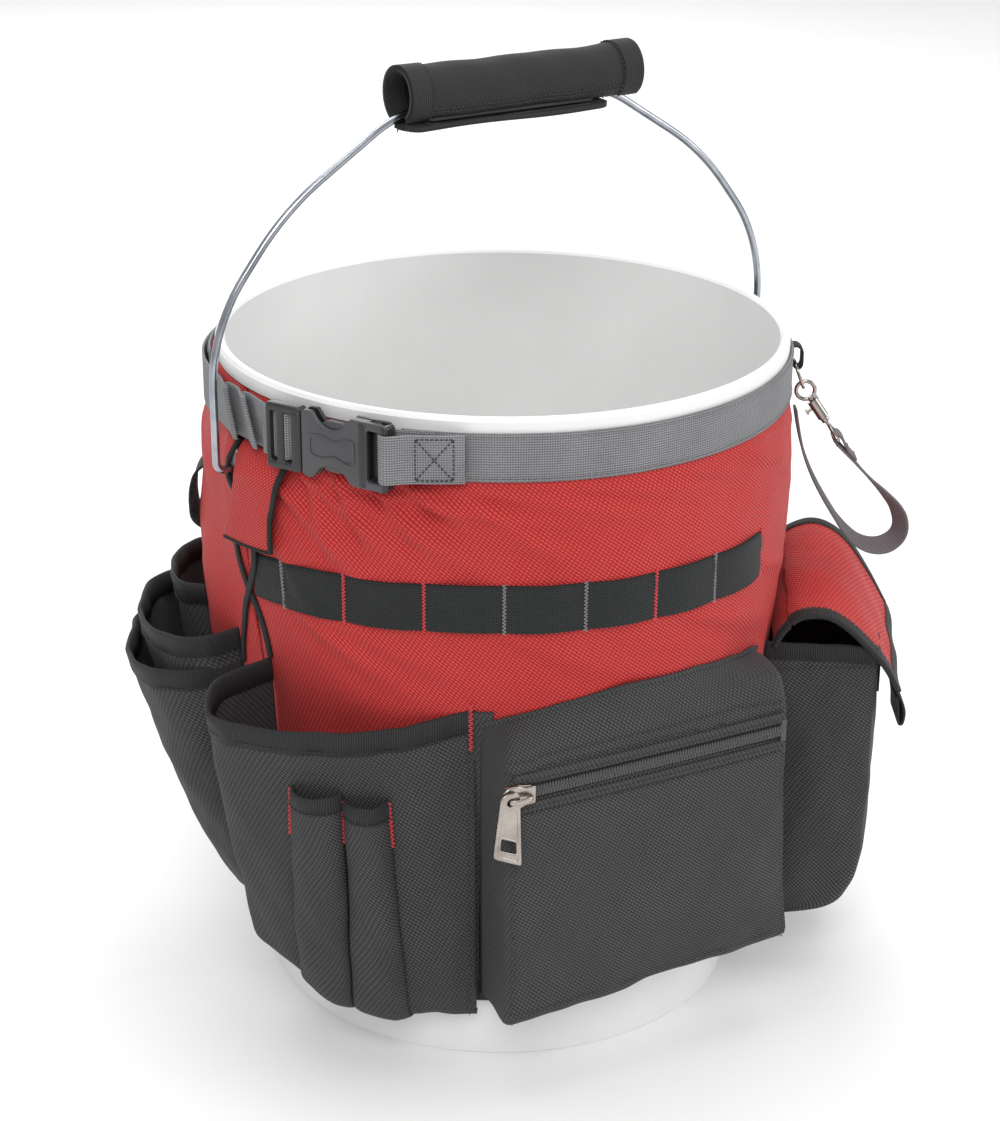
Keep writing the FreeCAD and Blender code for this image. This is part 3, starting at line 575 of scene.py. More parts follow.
def place_camera():
    camera = add_object("camera", bpy.data.cameras.new("camera"))
    camera.data.lens = 78.48
    camera.data.sensor_width = 36.0
    camera.location = Vector((-661.75, -1049.23, 750.78)) * MM
    aim = Vector((-0.73, 0.46, 232.64)) * MM - camera.location
    roll = Quaternion((0, 0, 1), math.radians(0.28))
    camera.rotation_mode = "QUATERNION"
    camera.rotation_quaternion = aim.to_track_quat("-Z", "Y") @ roll
    camera.data.clip_end = 20
    bpy.context.scene.camera = camera


def area_light(name, place, aim, size, power, colour=(1, 1, 1)):
    data = bpy.data.lights.new(name, "AREA")
    data.shape = "RECTANGLE"
    data.size, data.size_y = size
    data.energy = power
    data.color = colour
    light = add_object(name, data)
    light.location = place
    light.rotation_mode = "QUATERNION"
    light.rotation_quaternion = (Vector(aim) - Vector(place)).to_track_quat("-Z", "Y")


def studio():
    mesh = bpy.data.meshes.new("floor")
    half = 6.0
    mesh.from_pydata([(-half, -half, 0), (half, -half, 0), (half, half, 0), (-half, half, 0)], [],
        [(0, 1, 2, 3)])
    t = Tree("pale_floor")
    t.colour(t.blend(t.noise(3.0, 2.0), (0.90, 0.90, 0.90), (0.93, 0.93, 0.93)))
    t.set(roughness=0.6, specular_IOR_level=0.2)
    mesh.materials.append(t.material)
    floor = add_object("floor", mesh)
    area_light("key", (-1.6, -2.2, 2.6), (0, 0, 0.2), (2.0, 1.4), 54)
    area_light("fill", (2.6, -1.6, 1.5), (0, 0, 0.25), (1.8, 1.8), 32)
    area_light("top", (0.2, 0.6, 3.0), (0, 0, 0.2), (2.4, 2.4), 40)
    area_light("rear", (0.8, 2.8, 1.6), (0, 0, 0.3), (2.2, 1.4), 22)
    world = bpy.data.worlds.new("studio")
    world.use_nodes = True
    world.node_tree.nodes["Background"].inputs[0].default_value = (1.0, 1.0, 1.0, 1.0)
    world.node_tree.nodes["Background"].inputs[1].default_value = 0.62
    bpy.context.scene.world = world
    bpy.context.scene.view_settings.view_transform = "Standard"
    bpy.context.scene.view_settings.look = "None"


# ------------------------------------------------------------------ lanyard strap (the free cord)

LANYARD = 57.8
STRAP_ROUTE = [(179.8, 303.2), (187.5, 295.5), (196.5, 285.0), (207.5, 274.5), (217.0, 263.0), (218.5, 250.0),
               (209.0, 242.0), (196.0, 244.0), (185.5, 254.5), (176.5, 268.5), (168.8, 282.0), (162.8, 296.0),
               (159.2, 309.5), (157.0, 322.0)]


def nurbs_points(points, name):
    """Points in mm along the smooth spline that has the given control points."""
    curve = bpy.data.curves.new(name, "CURVE")
    curve.dimensions = "3D"
    curve.resolution_u = 12
    line = curve.splines.new("NURBS")
    line.points.add(len(points) - 1)
    for control, place in zip(line.points, points):
        control.co = (*(np.asarray(place) * MM), 1)
    line.order_u = 3
    line.use_endpoint_u = True
    return curve_mesh(name, curve)[0]


def lanyard_strap():
    route = [local(LANYARD, 0, depth, z) for depth, z in STRAP_ROUTE]
    path = nurbs_points(route, "strap_line")
    across = local(LANYARD, 1, 0, 0)
    normals = unit(np.cross(tangents(path), across))
    twist = np.radians(np.interp(np.linspace(0, 1, len(path)), [0, 0.15, 0.3, 0.44, 0.54, 0.66, 1],
                                [0, 10, 36, 38, 20, 4, 0]))
    normals = normals * np.cos(twist)[:, None] + unit(across) * np.sin(twist)[:, None]
    strap = ribbon("lanyard_webbing", path, -normals, 12.0, 1.5, *LANYARD_LOOK)
    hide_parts("lanyard_strap")
    start, run, lift = (np.array(v) for v in ((179.8, 303.2), (0.7071, -0.7071), (0.7071, 0.7071)))
    turn = np.radians(np.linspace(-90, -270, 11))
    bend = [(-2.0 + 2.0 * math.cos(a), 2.3 + 2.0 * math.sin(a)) for a in turn]
    trace = [(4.0, 0.1), (1.0, 0.1)] + bend + [(1.0, 3.9), (4.0, 2.7), (8.0, 1.75), (14.0, 1.5)]
    flat = spline([start + run * a + lift * b for a, b in trace], 4)
    fold_path = local(LANYARD, 0, flat[:, 0], flat[:, 1])
    fold_normals = unit(np.cross(across, unit(np.gradient(fold_path, axis=0))))
    fold = ribbon("lanyard_fold", fold_path, fold_normals, 12.0, 1.3, *LANYARD_LOOK)
    front = local(LANYARD, 0, 0.7071, 0.7071)
    s = np.linspace(-4.6, 4.6, 9)
    seams = []
    for a in (6.5, 12.5):
        middle = start + run * a + lift * (2.9 if a < 10 else 2.3)
        seams.append((local(LANYARD, s, middle[0], middle[1]), front))
    sewn = stitching("lanyard_stitches", seams, 1.5, 0.34, *GREY_SEAM)
    tuple(local(LANYARD, 0, 170, 330) * MM)
    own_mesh(strap)


# ------------------------------------------------------------------ skirt surface

SKIRT = np.array([(38, 137.2), (60, 138.5), (120, 142.0), (193, 147.5), (242, 153.0), (277, 155.5),
    (316, 154.5), (334, 152.4)])
FOLD_RADIUS = 152
# Folds: start bearing and height, end bearing and height, width and rise in mm
FOLDS = [(-72, 331, -52, 300, 5.0, 2.6), (-66, 330, -38, 296, 5.0, 2.0), (-80, 322, -58, 283, 5.5, 2.2),
         (-50, 333, -22, 300, 6.0, 1.9), (-60, 329, -20, 316, 4.0, 1.8), (-40, 334, -8, 318, 4.5, 1.6),
         (-20, 334, 8, 322, 4.0, 1.3), (2, 334, 26, 318, 4.5, 1.4), (18, 333, 52, 300, 6.0, 1.8),
         (34, 333, 70, 312, 4.5, 1.5), (-76, 255, -52, 226, 6.0, 1.5), (-62, 252, -40, 232, 6.0, 1.2),
         (-30, 255, -8, 231, 7.0, 1.1), (6, 254, 34, 229, 7.0, 1.4), (30, 262, 58, 236, 6.0, 1.3),
         (38, 300, 74, 268, 7.0, 1.4), (52, 262, 80, 300, 6.0, 1.0), (-84, 300, -70, 262, 5.0, 1.3),
         (96, 330, 130, 300, 6.0, 1.6), (120, 333, 160, 305, 6.0, 1.5), (150, 331, 190, 309, 6.0, 1.5),
         (190, 332, 222, 302, 6.0, 1.5), (225, 330, 250, 296, 6.0, 1.6), (110, 290, 150, 262, 7.0, 1.3),
         (160, 288, 205, 268, 7.0, 1.2), (205, 290, 245, 260, 7.0, 1.3), (100, 240, 140, 222, 7.0, 1.1),
         (170, 236, 215, 220, 7.0, 1.1), (-72, 333, -67, 306, 3.4, 2.6), (-64, 333, -57, 302, 3.6, 2.9),
         (-57, 333, -46, 303, 3.6, 2.6), (-50, 334, -36, 308, 3.8, 2.2), (-43, 334, -26, 306, 4.2, 1.6)]


def skirt_radius(z):
    return np.interp(z, SKIRT[:, 0], SKIRT[:, 1])


def loose(bearing, z):
    """How far the back panel hangs off the pail beside the side pockets, in mm."""
    b = np.asarray(bearing, float)
    b = b - 360 * (b > 180)
    return np.interp(z, [110, 200, 240, 280, 320, 330, 337], [0, 11.5, 10.5, 6.5, 4.5, 3.2, 2.0]) \
        * np.exp(-((b + 124) / 19) ** 4)


def folds(bearing, z):
    """How far the skirt's folds stand proud, in mm."""
    b = np.asarray(bearing, float)
    z = np.asarray(z, float)
    s = np.radians(b) * FOLD_RADIUS
    total = np.zeros(np.broadcast(s, z).shape)
    for b0, z0, b1, z1, width, rise in FOLDS:
        width, rise = width * 0.82, rise * 1.45
        for turn in (-360, 0, 360):
            s0, s1 = math.radians(b0 + turn) * FOLD_RADIUS, math.radians(b1 + turn) * FOLD_RADIUS
            along = np.array([s1 - s0, z1 - z0])
            size = np.linalg.norm(along)
            along = along / size
            p = (s - s0) * along[0] + (z - z0) * along[1]
            q = -(s - s0) * along[1] + (z - z0) * along[0]
            ends = 1 / (1 + np.exp(-(p + 4) / 5)) / (1 + np.exp((p - size) / 11))
            narrow = width * (0.7 + 0.7 * np.clip(p / size, 0, 1.3))
            valley = 0.45 * np.exp(-((q + 1.7 * narrow) / narrow) ** 2)
            total += rise * ends * (np.exp(-(q / narrow) ** 2) - valley)
    swell = (0.7 * np.sin(s / 31 + z / 40 + 0.6) + 0.5 * np.sin(s / 17 - z / 26 + 2.1)
             + 0.28 * np.sin(s / 9.5 + z / 15 + 4.0) + 0.16 * np.sin(s / 5.3 - z / 8.7 + 1.0))
    edge = np.clip((335 - z) / 14, 0, 1) * np.clip((z - 38) / 20, 0.2, 1)
    calm = 1 - 0.75 * np.exp(-((b - 62) / 22) ** 4)
    return (total * np.clip((337 - z) / 8, 0, 1) + swell * edge) * calm + loose(b, z)


def skin(bearing, z):
    """Outer radius of the skirt with its folds."""
    return skirt_radius(z) + folds(bearing, z)


def skirt():
    heights = np.concatenate([np.linspace(40, 334, 150), [337.0, 340.0, 350.0, 359.0]])
    for name, start, end, node in (("skirt_front_panel", -89.6, 89.6, "skirt_front"),
                                   ("skirt_back_panel", 90.4, 269.6, "skirt_back")):
        b, z = np.meshgrid(np.linspace(start, end, 300), heights, indexing="ij")
        radius = skin(b, z)
        top = np.clip(152.4 - (z - 334.5) * 0.5, 151.45, 152.4) + loose(b, 337)
        radius = np.where(z > 334.5, top, radius)
        near = np.minimum(np.abs(b - start), np.abs(b - end))
        radius = radius - 0.8 * np.exp(-(near / 1.2) ** 2)
        slit = np.exp(-((z - EAR_Z) / 17.0) ** 4)
        b = b + np.where(np.abs(b - start) < np.abs(b - end), 1, -1) * slit * 5.0 * np.exp(-(near / 3.0) ** 2)
        panel = cloth(name, cyl(b, radius, z), 1.2, *RED_CLOTH)
        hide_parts(node)
    pieces = []
    for start, end in ((-89, 89), (91, 269)):
        b = np.linspace(start, end, 240)
        low = cyl(b, skin(b, 46) + 0.2, 46.0)
        profile = [(-1.2, -6.6), (1.0, -7.4), (1.9, -6.0), (1.6, 6.6), (0.4, 7.2), (-1.0, 6.6)]
        side = outward(low)
        pieces.append(sweep("skirt_hem_%d" % len(pieces), low, side, np.broadcast_to(UP, low.shape), profile,
            *HEM_LOOK))
    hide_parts("skirt_hem")
    runs = []
    for start, end in ((-88.6, 88.6), (91.4, 268.6)):
        b = np.linspace(start, end, 300)
        path = cyl(b, skin(b, 52) + 1.8, 51.6)
        runs.append((path, outward(path)))
    stitching("skirt_hem_stitches", runs, 4.0, 0.3, *DARK_SEAM)
    for number, (start, end) in enumerate(((-88.6, 88.6), (91.4, 268.6))):
        b, z = np.meshgrid(np.linspace(start, end, 240), np.linspace(52, 64, 6), indexing="ij")
        cloth("base_band_%d" % number, cyl(b, skin(b, z) + 0.7, z), 0.8, *CLOTH)
    z = np.linspace(41, 214, 60)
    b, zz = np.meshgrid(np.linspace(-38.4, -33.6, 9), z, indexing="ij")
    cloth("pocket_gusset", cyl(b, skin(b, zz) + 1.6, zz), 1.4, *CLOTH)


def slit_bindings():
    """Bound edges of the side openings, which cross and part below the ears."""
    for side, name in ((-1, "left"), (1, "right")):
        for number, edge in enumerate((
                [(-2.3, 302), (-3.6, 284), (-3.0, 266), (-0.4, 252), (2.6, 240), (4.4, 228), (5.0, 216)],
                [(4.6, 302), (4.9, 284), (3.6, 266), (0.4, 250), (-3.8, 232), (-7.0, 214), (-8.4, 200)])):
            bz = spline(edge, 8)
            b = side * 90 + bz[:, 0]
            path = cyl(b, skin(b, bz[:, 1]) + 0.8 + 0.9 * number, bz[:, 1])
            normals = outward(path)
            ribbon("slit_binding_%s_%d" % (name, number), path, normals, 4.6, 1.4, *BOUND)
        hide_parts("slit_binding_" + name)


# ------------------------------------------------------------------ band, pleats and load webbing

BAND_MIDDLE = 348.8
BUCKLE_BEARING = -63.65
BUCKLE_Z = 349.0


def band():
    b = np.linspace(-50.5, 247, 420)
    ripple = 0.25 * np.sin(np.radians(b) * 9) + 0.15 * np.sin(np.radians(b) * 23 + 1)
    slack = loose(b, 337)
    path = cyl(b, 152.5 + slack + 0.1 * ripple, BAND_MIDDLE + 0.25 * ripple)
    strip = ribbon("band_webbing", path, outward(path), STRAP_WIDTH, 1.5, *GREY_STRAP)
    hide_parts("band")
    low, high = cyl(b, 153.45 + slack, BAND_MIDDLE - 10.6), cyl(b, 153.45 + slack, BAND_MIDDLE + 10.6)
    stitching("band_stitches", [(low, outward(low)), (high, outward(high))], 3.2, 0.22, *GREY_SEAM)


def pleated_strap():
    """The free end that feeds the buckle, folded into two slanting pleats beside it."""
    knots = [(-134.0, 156.2), (-128.0, 157.6), (-120.0, 158.6), (-113.0, 158.2), (-106.0, 157.2),
        (-101.0, 156.4), (-96.0, 157.2), (-92.6, 159.4), (-90.8, 161.2), (-89.9, 160.6), (-90.4, 158.9),
        (-92.4, 157.6), (-93.0, 156.4), (-91.6, 155.6), (-88.6, 156.0), (-86.0, 158.6), (-84.0, 161.0),
        (-83.1, 160.6), (-83.6, 158.9), (-85.6, 157.6), (-86.2, 156.4), (-84.8, 155.7), (-81.6, 157.0),
        (-79.0, 159.2), (-76.8, 160.4)]
    line = spline(knots, 7)
    row = np.linspace(-12.3, 12.3, 12)
    slope = np.interp(line[:, 0], [-131, -113, -79], [-2.0, -2.4, 0.0])
    slant = np.interp(line[:, 0], [-104, -95, -82, -78], [0.0, 0.15, 0.15, 0.0])
    bearing = line[:, :1] - slant[:, None] * row[None, :]
    grid = cyl(bearing, line[:, 1:], BUCKLE_Z - 1.0 + slope[:, None] + row[None, :])
    strip = cloth("pleated_webbing", grid, 1.2, GREY_WEB, None, "grey_webbing")
    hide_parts("pleated_strap")
    tuple(cyl(-106, 157, 346) * MM)
    tuple(cyl(-80, 159, 346) * MM)
    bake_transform(strip)


def bar_tacks(name, tracks, material, slot, length=2.3, pitch=0.95, radius=0.36):
    """Dense columns of slanted threads. A track is its two ends and its normal."""
    centres, along, normals = [], [], []
    for low, high, normal in tracks:
        low, high, normal = (np.asarray(a, float) for a in (low, high, normal))
        count = int(np.linalg.norm(high - low) / pitch)
        axis = unit(high - low)
        across = unit(np.cross(axis, normal))
        for i in range(count):
            centres.append(low + (high - low) * (i + 0.5) / count)
            lean = 0.38 if i % 2 else -0.38
            along.append(across + axis * lean)
            normals.append(normal)
    return threads(name, centres, along, normals, length, radius, material, "organizer", slot)


def load_webbing():
    """Straight webbing sewn down at every tack, so that it bows a little between them."""
    b = np.linspace(-86.5, 26.8, 460)
    tacks_at = (-76.8, -62.0, -46.2, -31.7, -17.0, -3.0, 11.0, 26.2)
    phase = np.interp(b, tacks_at, np.arange(8.0))
    bow = np.abs(np.sin(np.pi * phase)) ** 0.8
    sink = np.interp(b, [-86.5, -70, -40, 26], [-9.0, -4.0, 0.0, 0.0])
    rows = np.linspace(-12.5, 12.5, 9)
    bb, row = np.meshgrid(b, rows, indexing="ij")
    bows = np.broadcast_to(bow[:, None], bb.shape)
    z = 271.5 + sink[:, None] + row
    flat = skirt_radius(271.5) + 0.55 * folds(bb, z) + 0.7
    radius = np.maximum(flat + 1.9 * bows, skin(bb, z) + 0.7) - 0.5 * (np.abs(row) > 12)
    grid = cyl(bb, radius, z)
    strip = cloth("load_strip", grid, 1.4, *BLACK_STRAP)
    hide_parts("load_webbing")
    for name, order, material in (("grey", (0, 3, 4, 6), GREY_THREAD), ("red", (1, 2, 5, 7), RED_THREAD)):
        tracks = []
        for n in order:
            bearing = tacks_at[n]
            column = int(np.argmin(np.abs(b - bearing)))
            low, high = grid[column, 0], grid[column, -1]
            normal = outward(low)
            tracks.append((low + normal * 0.4 - UP, high + normal * 0.4 + UP, normal))
        tacks = bar_tacks("load_tacks_" + name, tracks, material, name + "_thread")
        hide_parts("bar_tacks_" + name)


# ------------------------------------------------------------------ buckle

def buckle():
    """Side release buckle: ribbed body with scooped sides, two prongs, and the ladder frame beside it."""
    x_axis = local(BUCKLE_BEARING, 1, 0, 0)

    def moulding(name, outlines, thick, bevel, depth, material=ACETAL, body="organizer"):
        return plate(name, outlines, thick, bevel, local(BUCKLE_BEARING, 0, depth, BUCKLE_Z), x_axis, UP,
                     material, body, "buckle_plastic")

    def scoop(side):
        turn = np.radians(np.linspace(152, 28, 15))
        return [(3.5 + 11.2 * math.cos(a), side * (20.6 - 11.2 * math.sin(a))) for a in turn]

    rim = [(-13.8, -15.8), (-12.2, -17), (-7.6, -17.0)] + scoop(-1) + [(15.0, -17.0), (33.5, -17.0)]
    rim += [(35.8, -14.6), (35.8, 14.6), (33.5, 17.0), (15.0, 17.0)] + scoop(1)[::-1]
    rim += [(-7.6, 17.0), (-12.2, 17.0), (-13.8, 15.8)]
    slot = block(24.0, 32.0, 13.0, 1.6)
    face = moulding("buckle_body", [rim, slot], 2.6, 0.7, 161.9)
    # The back plate is in the darker copy of the acetal: painted shade.
    moulding("buckle_back", [rim, slot], 2.2, 0.6, 156.3, SHADED_ACETAL)
    for name, edge in (("top", 1), ("bottom", -1)):
        wall = rounded([(14.5, edge * 13.0), (24.4, edge * 13.0), (24.4, edge * 16.6), (14.5, edge * 16.6)],
            0.8)
        moulding("buckle_wall_" + name, [wall], 5.4, 0.5, 159.2)
    # The bars are in the darker copy too: painted shade. The middle bar is a low dark block that fills the
    # slot where its shadow falls: painted shadow.
    bars = ((19.4, 23.8, 8.4, 159.6), (24.0, 29.8, 3.0, 156.9), (32.4, 35.9, 8.4, 159.6))
    for index, (low, high, thick, depth) in enumerate(bars):
        moulding("buckle_bar_%d" % index, [block(low, high, 16.4, 1.2)], thick, 1.4, depth, SHADED_ACETAL)
    panel = rounded([(-9.5, -5.6), (-2.0, -6.4), (6.0, -3.8), (11.0, -6.4), (17.5, -6.4), (17.5, 6.4),
        (11.0, 6.4), (6.0, 3.8), (-2.0, 6.4), (-9.5, 5.6)], 2.4)
    inner = [(x * 0.9 + 0.35, y * 0.84) for x, y in panel]
    moulding("buckle_panel_rib", [panel, inner], 1.0, 0.35, 163.3)
    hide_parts("buckle_female")
    outlines = [block(-35.8, -14.8, 16.8, 2.2), block(-33.0, -29.4, 12.6, 1.0),
        block(-25.0, -20.6, 12.6, 1.0)]
    # The ladder and shoulder are in the darker copy of the acetal: painted shade.
    ladder = moulding("buckle_ladder", outlines, 6.8, 1.4, 159.3, SHADED_ACETAL, "buckle_plug")
    moulding("buckle_shoulder", [block(-20.4, -15.4, 14.4, 1.4)], 7.8, 1.6, 159.4, SHADED_ACETAL, "buckle_plug")
    tongue = rounded([(-16.0, -1.3), (12.5, -1.3), (13.6, 0.0), (12.5, 1.3), (-16.0, 1.3)], 0.6)
    moulding("buckle_tongue", [tongue], 3.4, 0.5, 159.1, ACETAL, "buckle_plug")
    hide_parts("buckle_male")
    line = spline([(-40.5, 158.8), (-35.6, 160.2), (-31.6, 160.4), (-27.2, 163.2), (-23.2, 160.4),
        (-20.6, 157.4)], 6)
    path = local(BUCKLE_BEARING, line[:, 0], line[:, 1] - 1.4, BUCKLE_Z)
    ribbon("ladder_webbing", path, unit(np.cross(tangents(path), UP)), STRAP_WIDTH, 1.3, GREY_WEB,
        "buckle_plug", "grey_webbing")
    for side, name in ((1, "upper"), (-1, "lower")):
        outline = [(-14.3, 4.2), (-14.3, 7.8), (-6.0, 8.9), (-1.5, 12.4), (1.5, 13.1), (9.0, 12.9),
            (14.3, 9.2), (14.3, 7.2), (2.0, 7.2), (-6.0, 4.2)]
        outline = rounded([(s, side * h) for s, h in outline], 1.2)
        prong = moulding("prong_" + name, [outline[::side]], 3.8, 0.7, 159.2, ACETAL, name + "_prong")
        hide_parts("buckle_prong_" + name)


def band_loop():
    """The end of the band folded round the buckle's bar and sewn flat with a box stitch."""
    outer = [(66.6, 142.4), (58.0, 148.3), (48.0, 154.2), (41.6, 158.8), (38.0, 162.6), (35.2, 164.6),
        (32.0, 163.6), (30.4, 160.0), (30.8, 156.4), (32.6, 153.8), (36.6, 152.0), (44.0, 149.0),
        (52.0, 145.6)]
    line = spline(outer, 6)
    path = local(BUCKLE_BEARING, line[:, 0], line[:, 1], BAND_MIDDLE + 0.6)
    across = tangents(path)
    normals = -unit(np.cross(UP, across))
    strip = ribbon("band_loop_webbing", path, normals, STRAP_WIDTH, 1.5, *GREY_STRAP)
    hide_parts("band_loop")
    corners = [(62.5, -10.4), (62.5, 10.4), (47.0, 10.4), (47.0, -10.4)]
    order = [(0, 1), (1, 2), (2, 3), (3, 0), (0, 2), (1, 3)]
    rows = spline(outer[:5], 10)[::-1]
    runs = []
    for a, b in order:
        s = np.linspace(corners[a][0], corners[b][0], 14)
        h = np.linspace(corners[a][1], corners[b][1], 14)
        depth = np.interp(s, rows[:, 0], rows[:, 1]) + 0.95
        path = local(BUCKLE_BEARING, s, depth, BAND_MIDDLE + 0.6 + h)
        runs.append((path, outward(path)))
    stitching("band_loop_stitches", runs, 2.2, 0.34, *DARK_SEAM)


# ------------------------------------------------------------------ open pockets

def plan(outline, per=6):
    """Smooth plan curve (x, y) through (bearing, radius) points."""
    points = cyl([b for b, r in outline], [r for b, r in outline], 0.0)[:, :2]
    return spline(points, per)


def bulge(start, end, base, peak, count=13, power=2.6):
    outline = []
    for index in range(count):
        across = -math.cos(math.pi * index / (count - 1))
        bearing = (start + end) / 2 + across * (end - start) / 2
        rise = (1 - abs(across) ** power) ** (1 / power)
        outline.append((bearing, base + rise * (peak - base)))
    return outline


def pocket_grid(levels, rows=48):
    """Surface through plan curves. A level is a height (or heights along the curve) and a plan curve."""
    n = len(levels[0][1])
    heights = np.stack([np.broadcast_to(z, n) for z, curve in levels]).astype(float)
    curves = np.stack([curve for z, curve in levels])
    steps = np.linalg.norm(np.diff(np.concatenate([curves, heights[..., None]], -1), axis=0),
        axis=-1).mean(axis=1)
    along = np.concatenate([[0], np.cumsum(steps)])
    wanted = np.linspace(0, along[-1], rows)
    grid = np.zeros((n, rows, 3))
    for i in range(n):
        for k in range(2):
            grid[i, :, k] = np.interp(wanted, along, curves[:, i, k])
        grid[i, :, 2] = np.interp(wanted, along, heights[:, i])
    for _ in range(2):
        grid[:, 1:-1] = grid[:, 1:-1] * 0.5 + (grid[:, :-2] + grid[:, 2:]) * 0.25
    return grid


def ripple(grid, rise, seed, across=24.0, down=38.0):
    """Push a grid along its normals in soft uneven waves that die out at its two side seams."""
    u, v = grid_travel(grid)
    u, v = u[:, None], v[None, :]
    wave = (np.sin(u / across * 2.1 + v / down * 1.3 + seed)
            + 0.7 * np.sin(u / across * 3.7 - v / down * 2.2 + seed * 2.3)
            + 0.4 * np.sin(u / across * 6.1 + v / down * 5.2 + seed * 3.1)
            + 0.2 * np.sin(u / across * 11.0 - v / down * 9.0 + seed * 1.7))
    ends = np.minimum(np.minimum(u, u[-1] - u) / 12.0, 1.0)
    return grid + grid_normals(grid) * (wave * rise * 0.5 * ends)[..., None]


def top_hem(name, grid, width, thick):
    """Bound upper edge of a pocket: a tape folded over the last column of the grid."""
    edge = grid[:, -1]
    down = unit(grid[:, -2] - grid[:, -1])
    normal = grid_normals(grid)[:, -1]
    normal = unit(normal - down * (normal * down).sum(1)[:, None])
    h = thick / 2
    profile = [(-h, width), (-h, 0.9), (-h * 0.6, -0.5), (0, -1.0), (h * 0.6, -0.5), (h, 0.9), (h, width)]
    middle = edge - normal * 0.6
    return sweep(name, middle, normal, down, profile, *HEM_LOOK)


def hem_stitches(name, grid, depth):
    steps = np.linalg.norm(np.diff(grid, axis=1), axis=2).mean(axis=0)
    down = np.concatenate([[0], np.cumsum(steps[::-1])])
    column = -1 - int(np.argmin(np.abs(down - depth)))
    normal = grid_normals(grid)[:, column]
    stitching(name, [(grid[:, column] + normal * 0.9, normal)], 3.0, 0.26, *SEAM)


def pocket(node, grid, hem, depth, short=None):
    """The shell of a pocket, its hem (width and thickness) and stitches at a depth below the rim."""
    short = short or node
    shell = cloth(node + "_shell", grid, 1.3, *CLOTH)
    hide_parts(node)
    top_hem(short + "_hem", grid, *hem)
    hem_stitches(short + "_stitches", grid, depth)


def pulled_in(curve, z, share, gap=1.0):
    bearing = bearing_of(curve)
    radius = np.linalg.norm(curve, axis=1)
    base = skirt_radius(z) + gap
    return cyl(bearing, base + (radius - base) * share, 0.0)[:, :2]


FRONT_TOP = [(-86.0, 149.3), (-85.6, 170), (-84.6, 187), (-81.8, 195.2), (-76, 190.5), (-66, 177),
    (-56, 164.5), (-46, 155.0), (-37, 150.6)]
FRONT_LOW = [(-86.0, 140.5), (-85.4, 155.5), (-84.4, 168.5), (-81, 175), (-74, 172.5), (-66, 168), (-56, 161),
             (-46, 151.5), (-37, 143.5)]


def front_left_levels():
    low, top = plan(FRONT_LOW, 12), plan(FRONT_TOP, 12)
    bearing = bearing_of(top)
    z_top = np.interp(bearing, [-86, -82, -70, -50, -37], [214, 199.5, 198.0, 204, 214.5])
    z_low = np.interp(bearing, [-86, -78, -70, -60, -52.5, -45, -37], [66, 56.5, 49, 39, 33.5, 36, 34])
    return low, top, z_low, z_top


def front_left_pocket():
    low, top, z_low, z_top = front_left_levels()
    levels = [(z_low - 1.5, pulled_in(low, 30, 0.05)), (z_low - 2.2, pulled_in(low, 30, 0.72)),
              (z_low + 1.5, pulled_in(low, 30, 0.96)), (z_low + 9, low)]
    for share in (0.35, 0.7, 1.0):
        levels.append((z_low + (z_top - z_low) * share, low + (top - low) * share))
    grid = ripple(pocket_grid(levels, 90), 1.5, 0.7, 30, 46)
    pocket("front_left_pocket", grid, (12.0, 3.0), 10.4, "front_left")
    facing = grid_normals(grid)[-1]
    stitching("front_left_seam", [(grid[-3] + facing * 0.9, facing)], 3.0, 0.26, *SEAM)
    return grid


def tool_pockets(grid):
    """Two narrow channels sewn on the front of the deep pocket, which lean a little as they go down."""
    normal = grid_normals(grid)
    columns = np.arange(len(grid))
    t = np.linspace(0, 1, 37)
    x = t * 2 - 1
    tracks = []
    for name, low_edges, top_edges, top in (("left", (-70.2, -60.1), (-68.9, -60.4), 167.0),
                                            ("right", (-60.1, -49.8), (-60.4, -52.6), 164.5)):
        middle = int(np.argmin(np.abs(bearing_of(grid[:, 60]) - sum(top_edges) / 2)))
        rows = range(4, int(np.argmin(np.abs(grid[middle, :, 2] - top))) + 1)
        z_share = np.linspace(0, 1, len(rows))
        base = np.zeros((len(t), len(rows), 3))
        face = np.zeros_like(base)
        for place, (row, share) in enumerate(zip(rows, z_share)):
            first, last = (low + (high - low) * share for low, high in zip(low_edges, top_edges))
            at = np.interp(first + (last - first) * t, bearing_of(grid[:, row]), columns)
            for axis in range(3):
                base[:, place, axis] = np.interp(at, columns, grid[:, row, axis])
                face[:, place, axis] = np.interp(at, columns, normal[:, row, axis])
        face = unit(face)
        rise = (1 - np.abs(x) ** 2.2) ** 0.6
        lift = 2.0 + 8.2 * (1 - np.exp(-z_share * 3.2))
        taper = 1 - np.exp(-z_share * 30)
        crease = 0.6 * np.sin(z_share * 21 + x[:, None] * 2.5 + top) * np.exp(-((z_share - 0.4) / 0.4) ** 2)
        height = rise[:, None] * (lift + crease) * taper + 0.9
        pouch = base + face * height[..., None]
        shell = cloth("tool_%s_shell" % name, pouch, 1.2, *CLOTH)
        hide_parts("tool_pocket_" + name)
        top_hem("tool_%s_hem" % name, pouch, 9.0, 2.4)
        hem_stitches("tool_%s_stitches" % name, pouch, 7.8)
        for edge in ((0, 36) if name == "right" else (0,)):
            line = pouch[edge]
            low = line[int(np.argmin(np.abs(line[:, 2] - top + 26)))]
            out = face[edge, -1]
            tracks.append((low + out * 1.4, line[-1] + out * 1.8 + UP * 0.6, out))
    corner = cyl(-37.8, skin(-37.8, 206) + 2.9, 193.0)
    top = cyl(-37.8, skin(-37.8, 215) + 2.9, 219.0)
    tracks.append((corner, top, outward(top)))
    tacks = bar_tacks("pocket_tack_threads", tracks, RED_THREAD, "red_thread", 2.4, 1.25, 0.42)
    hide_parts("pocket_tacks")


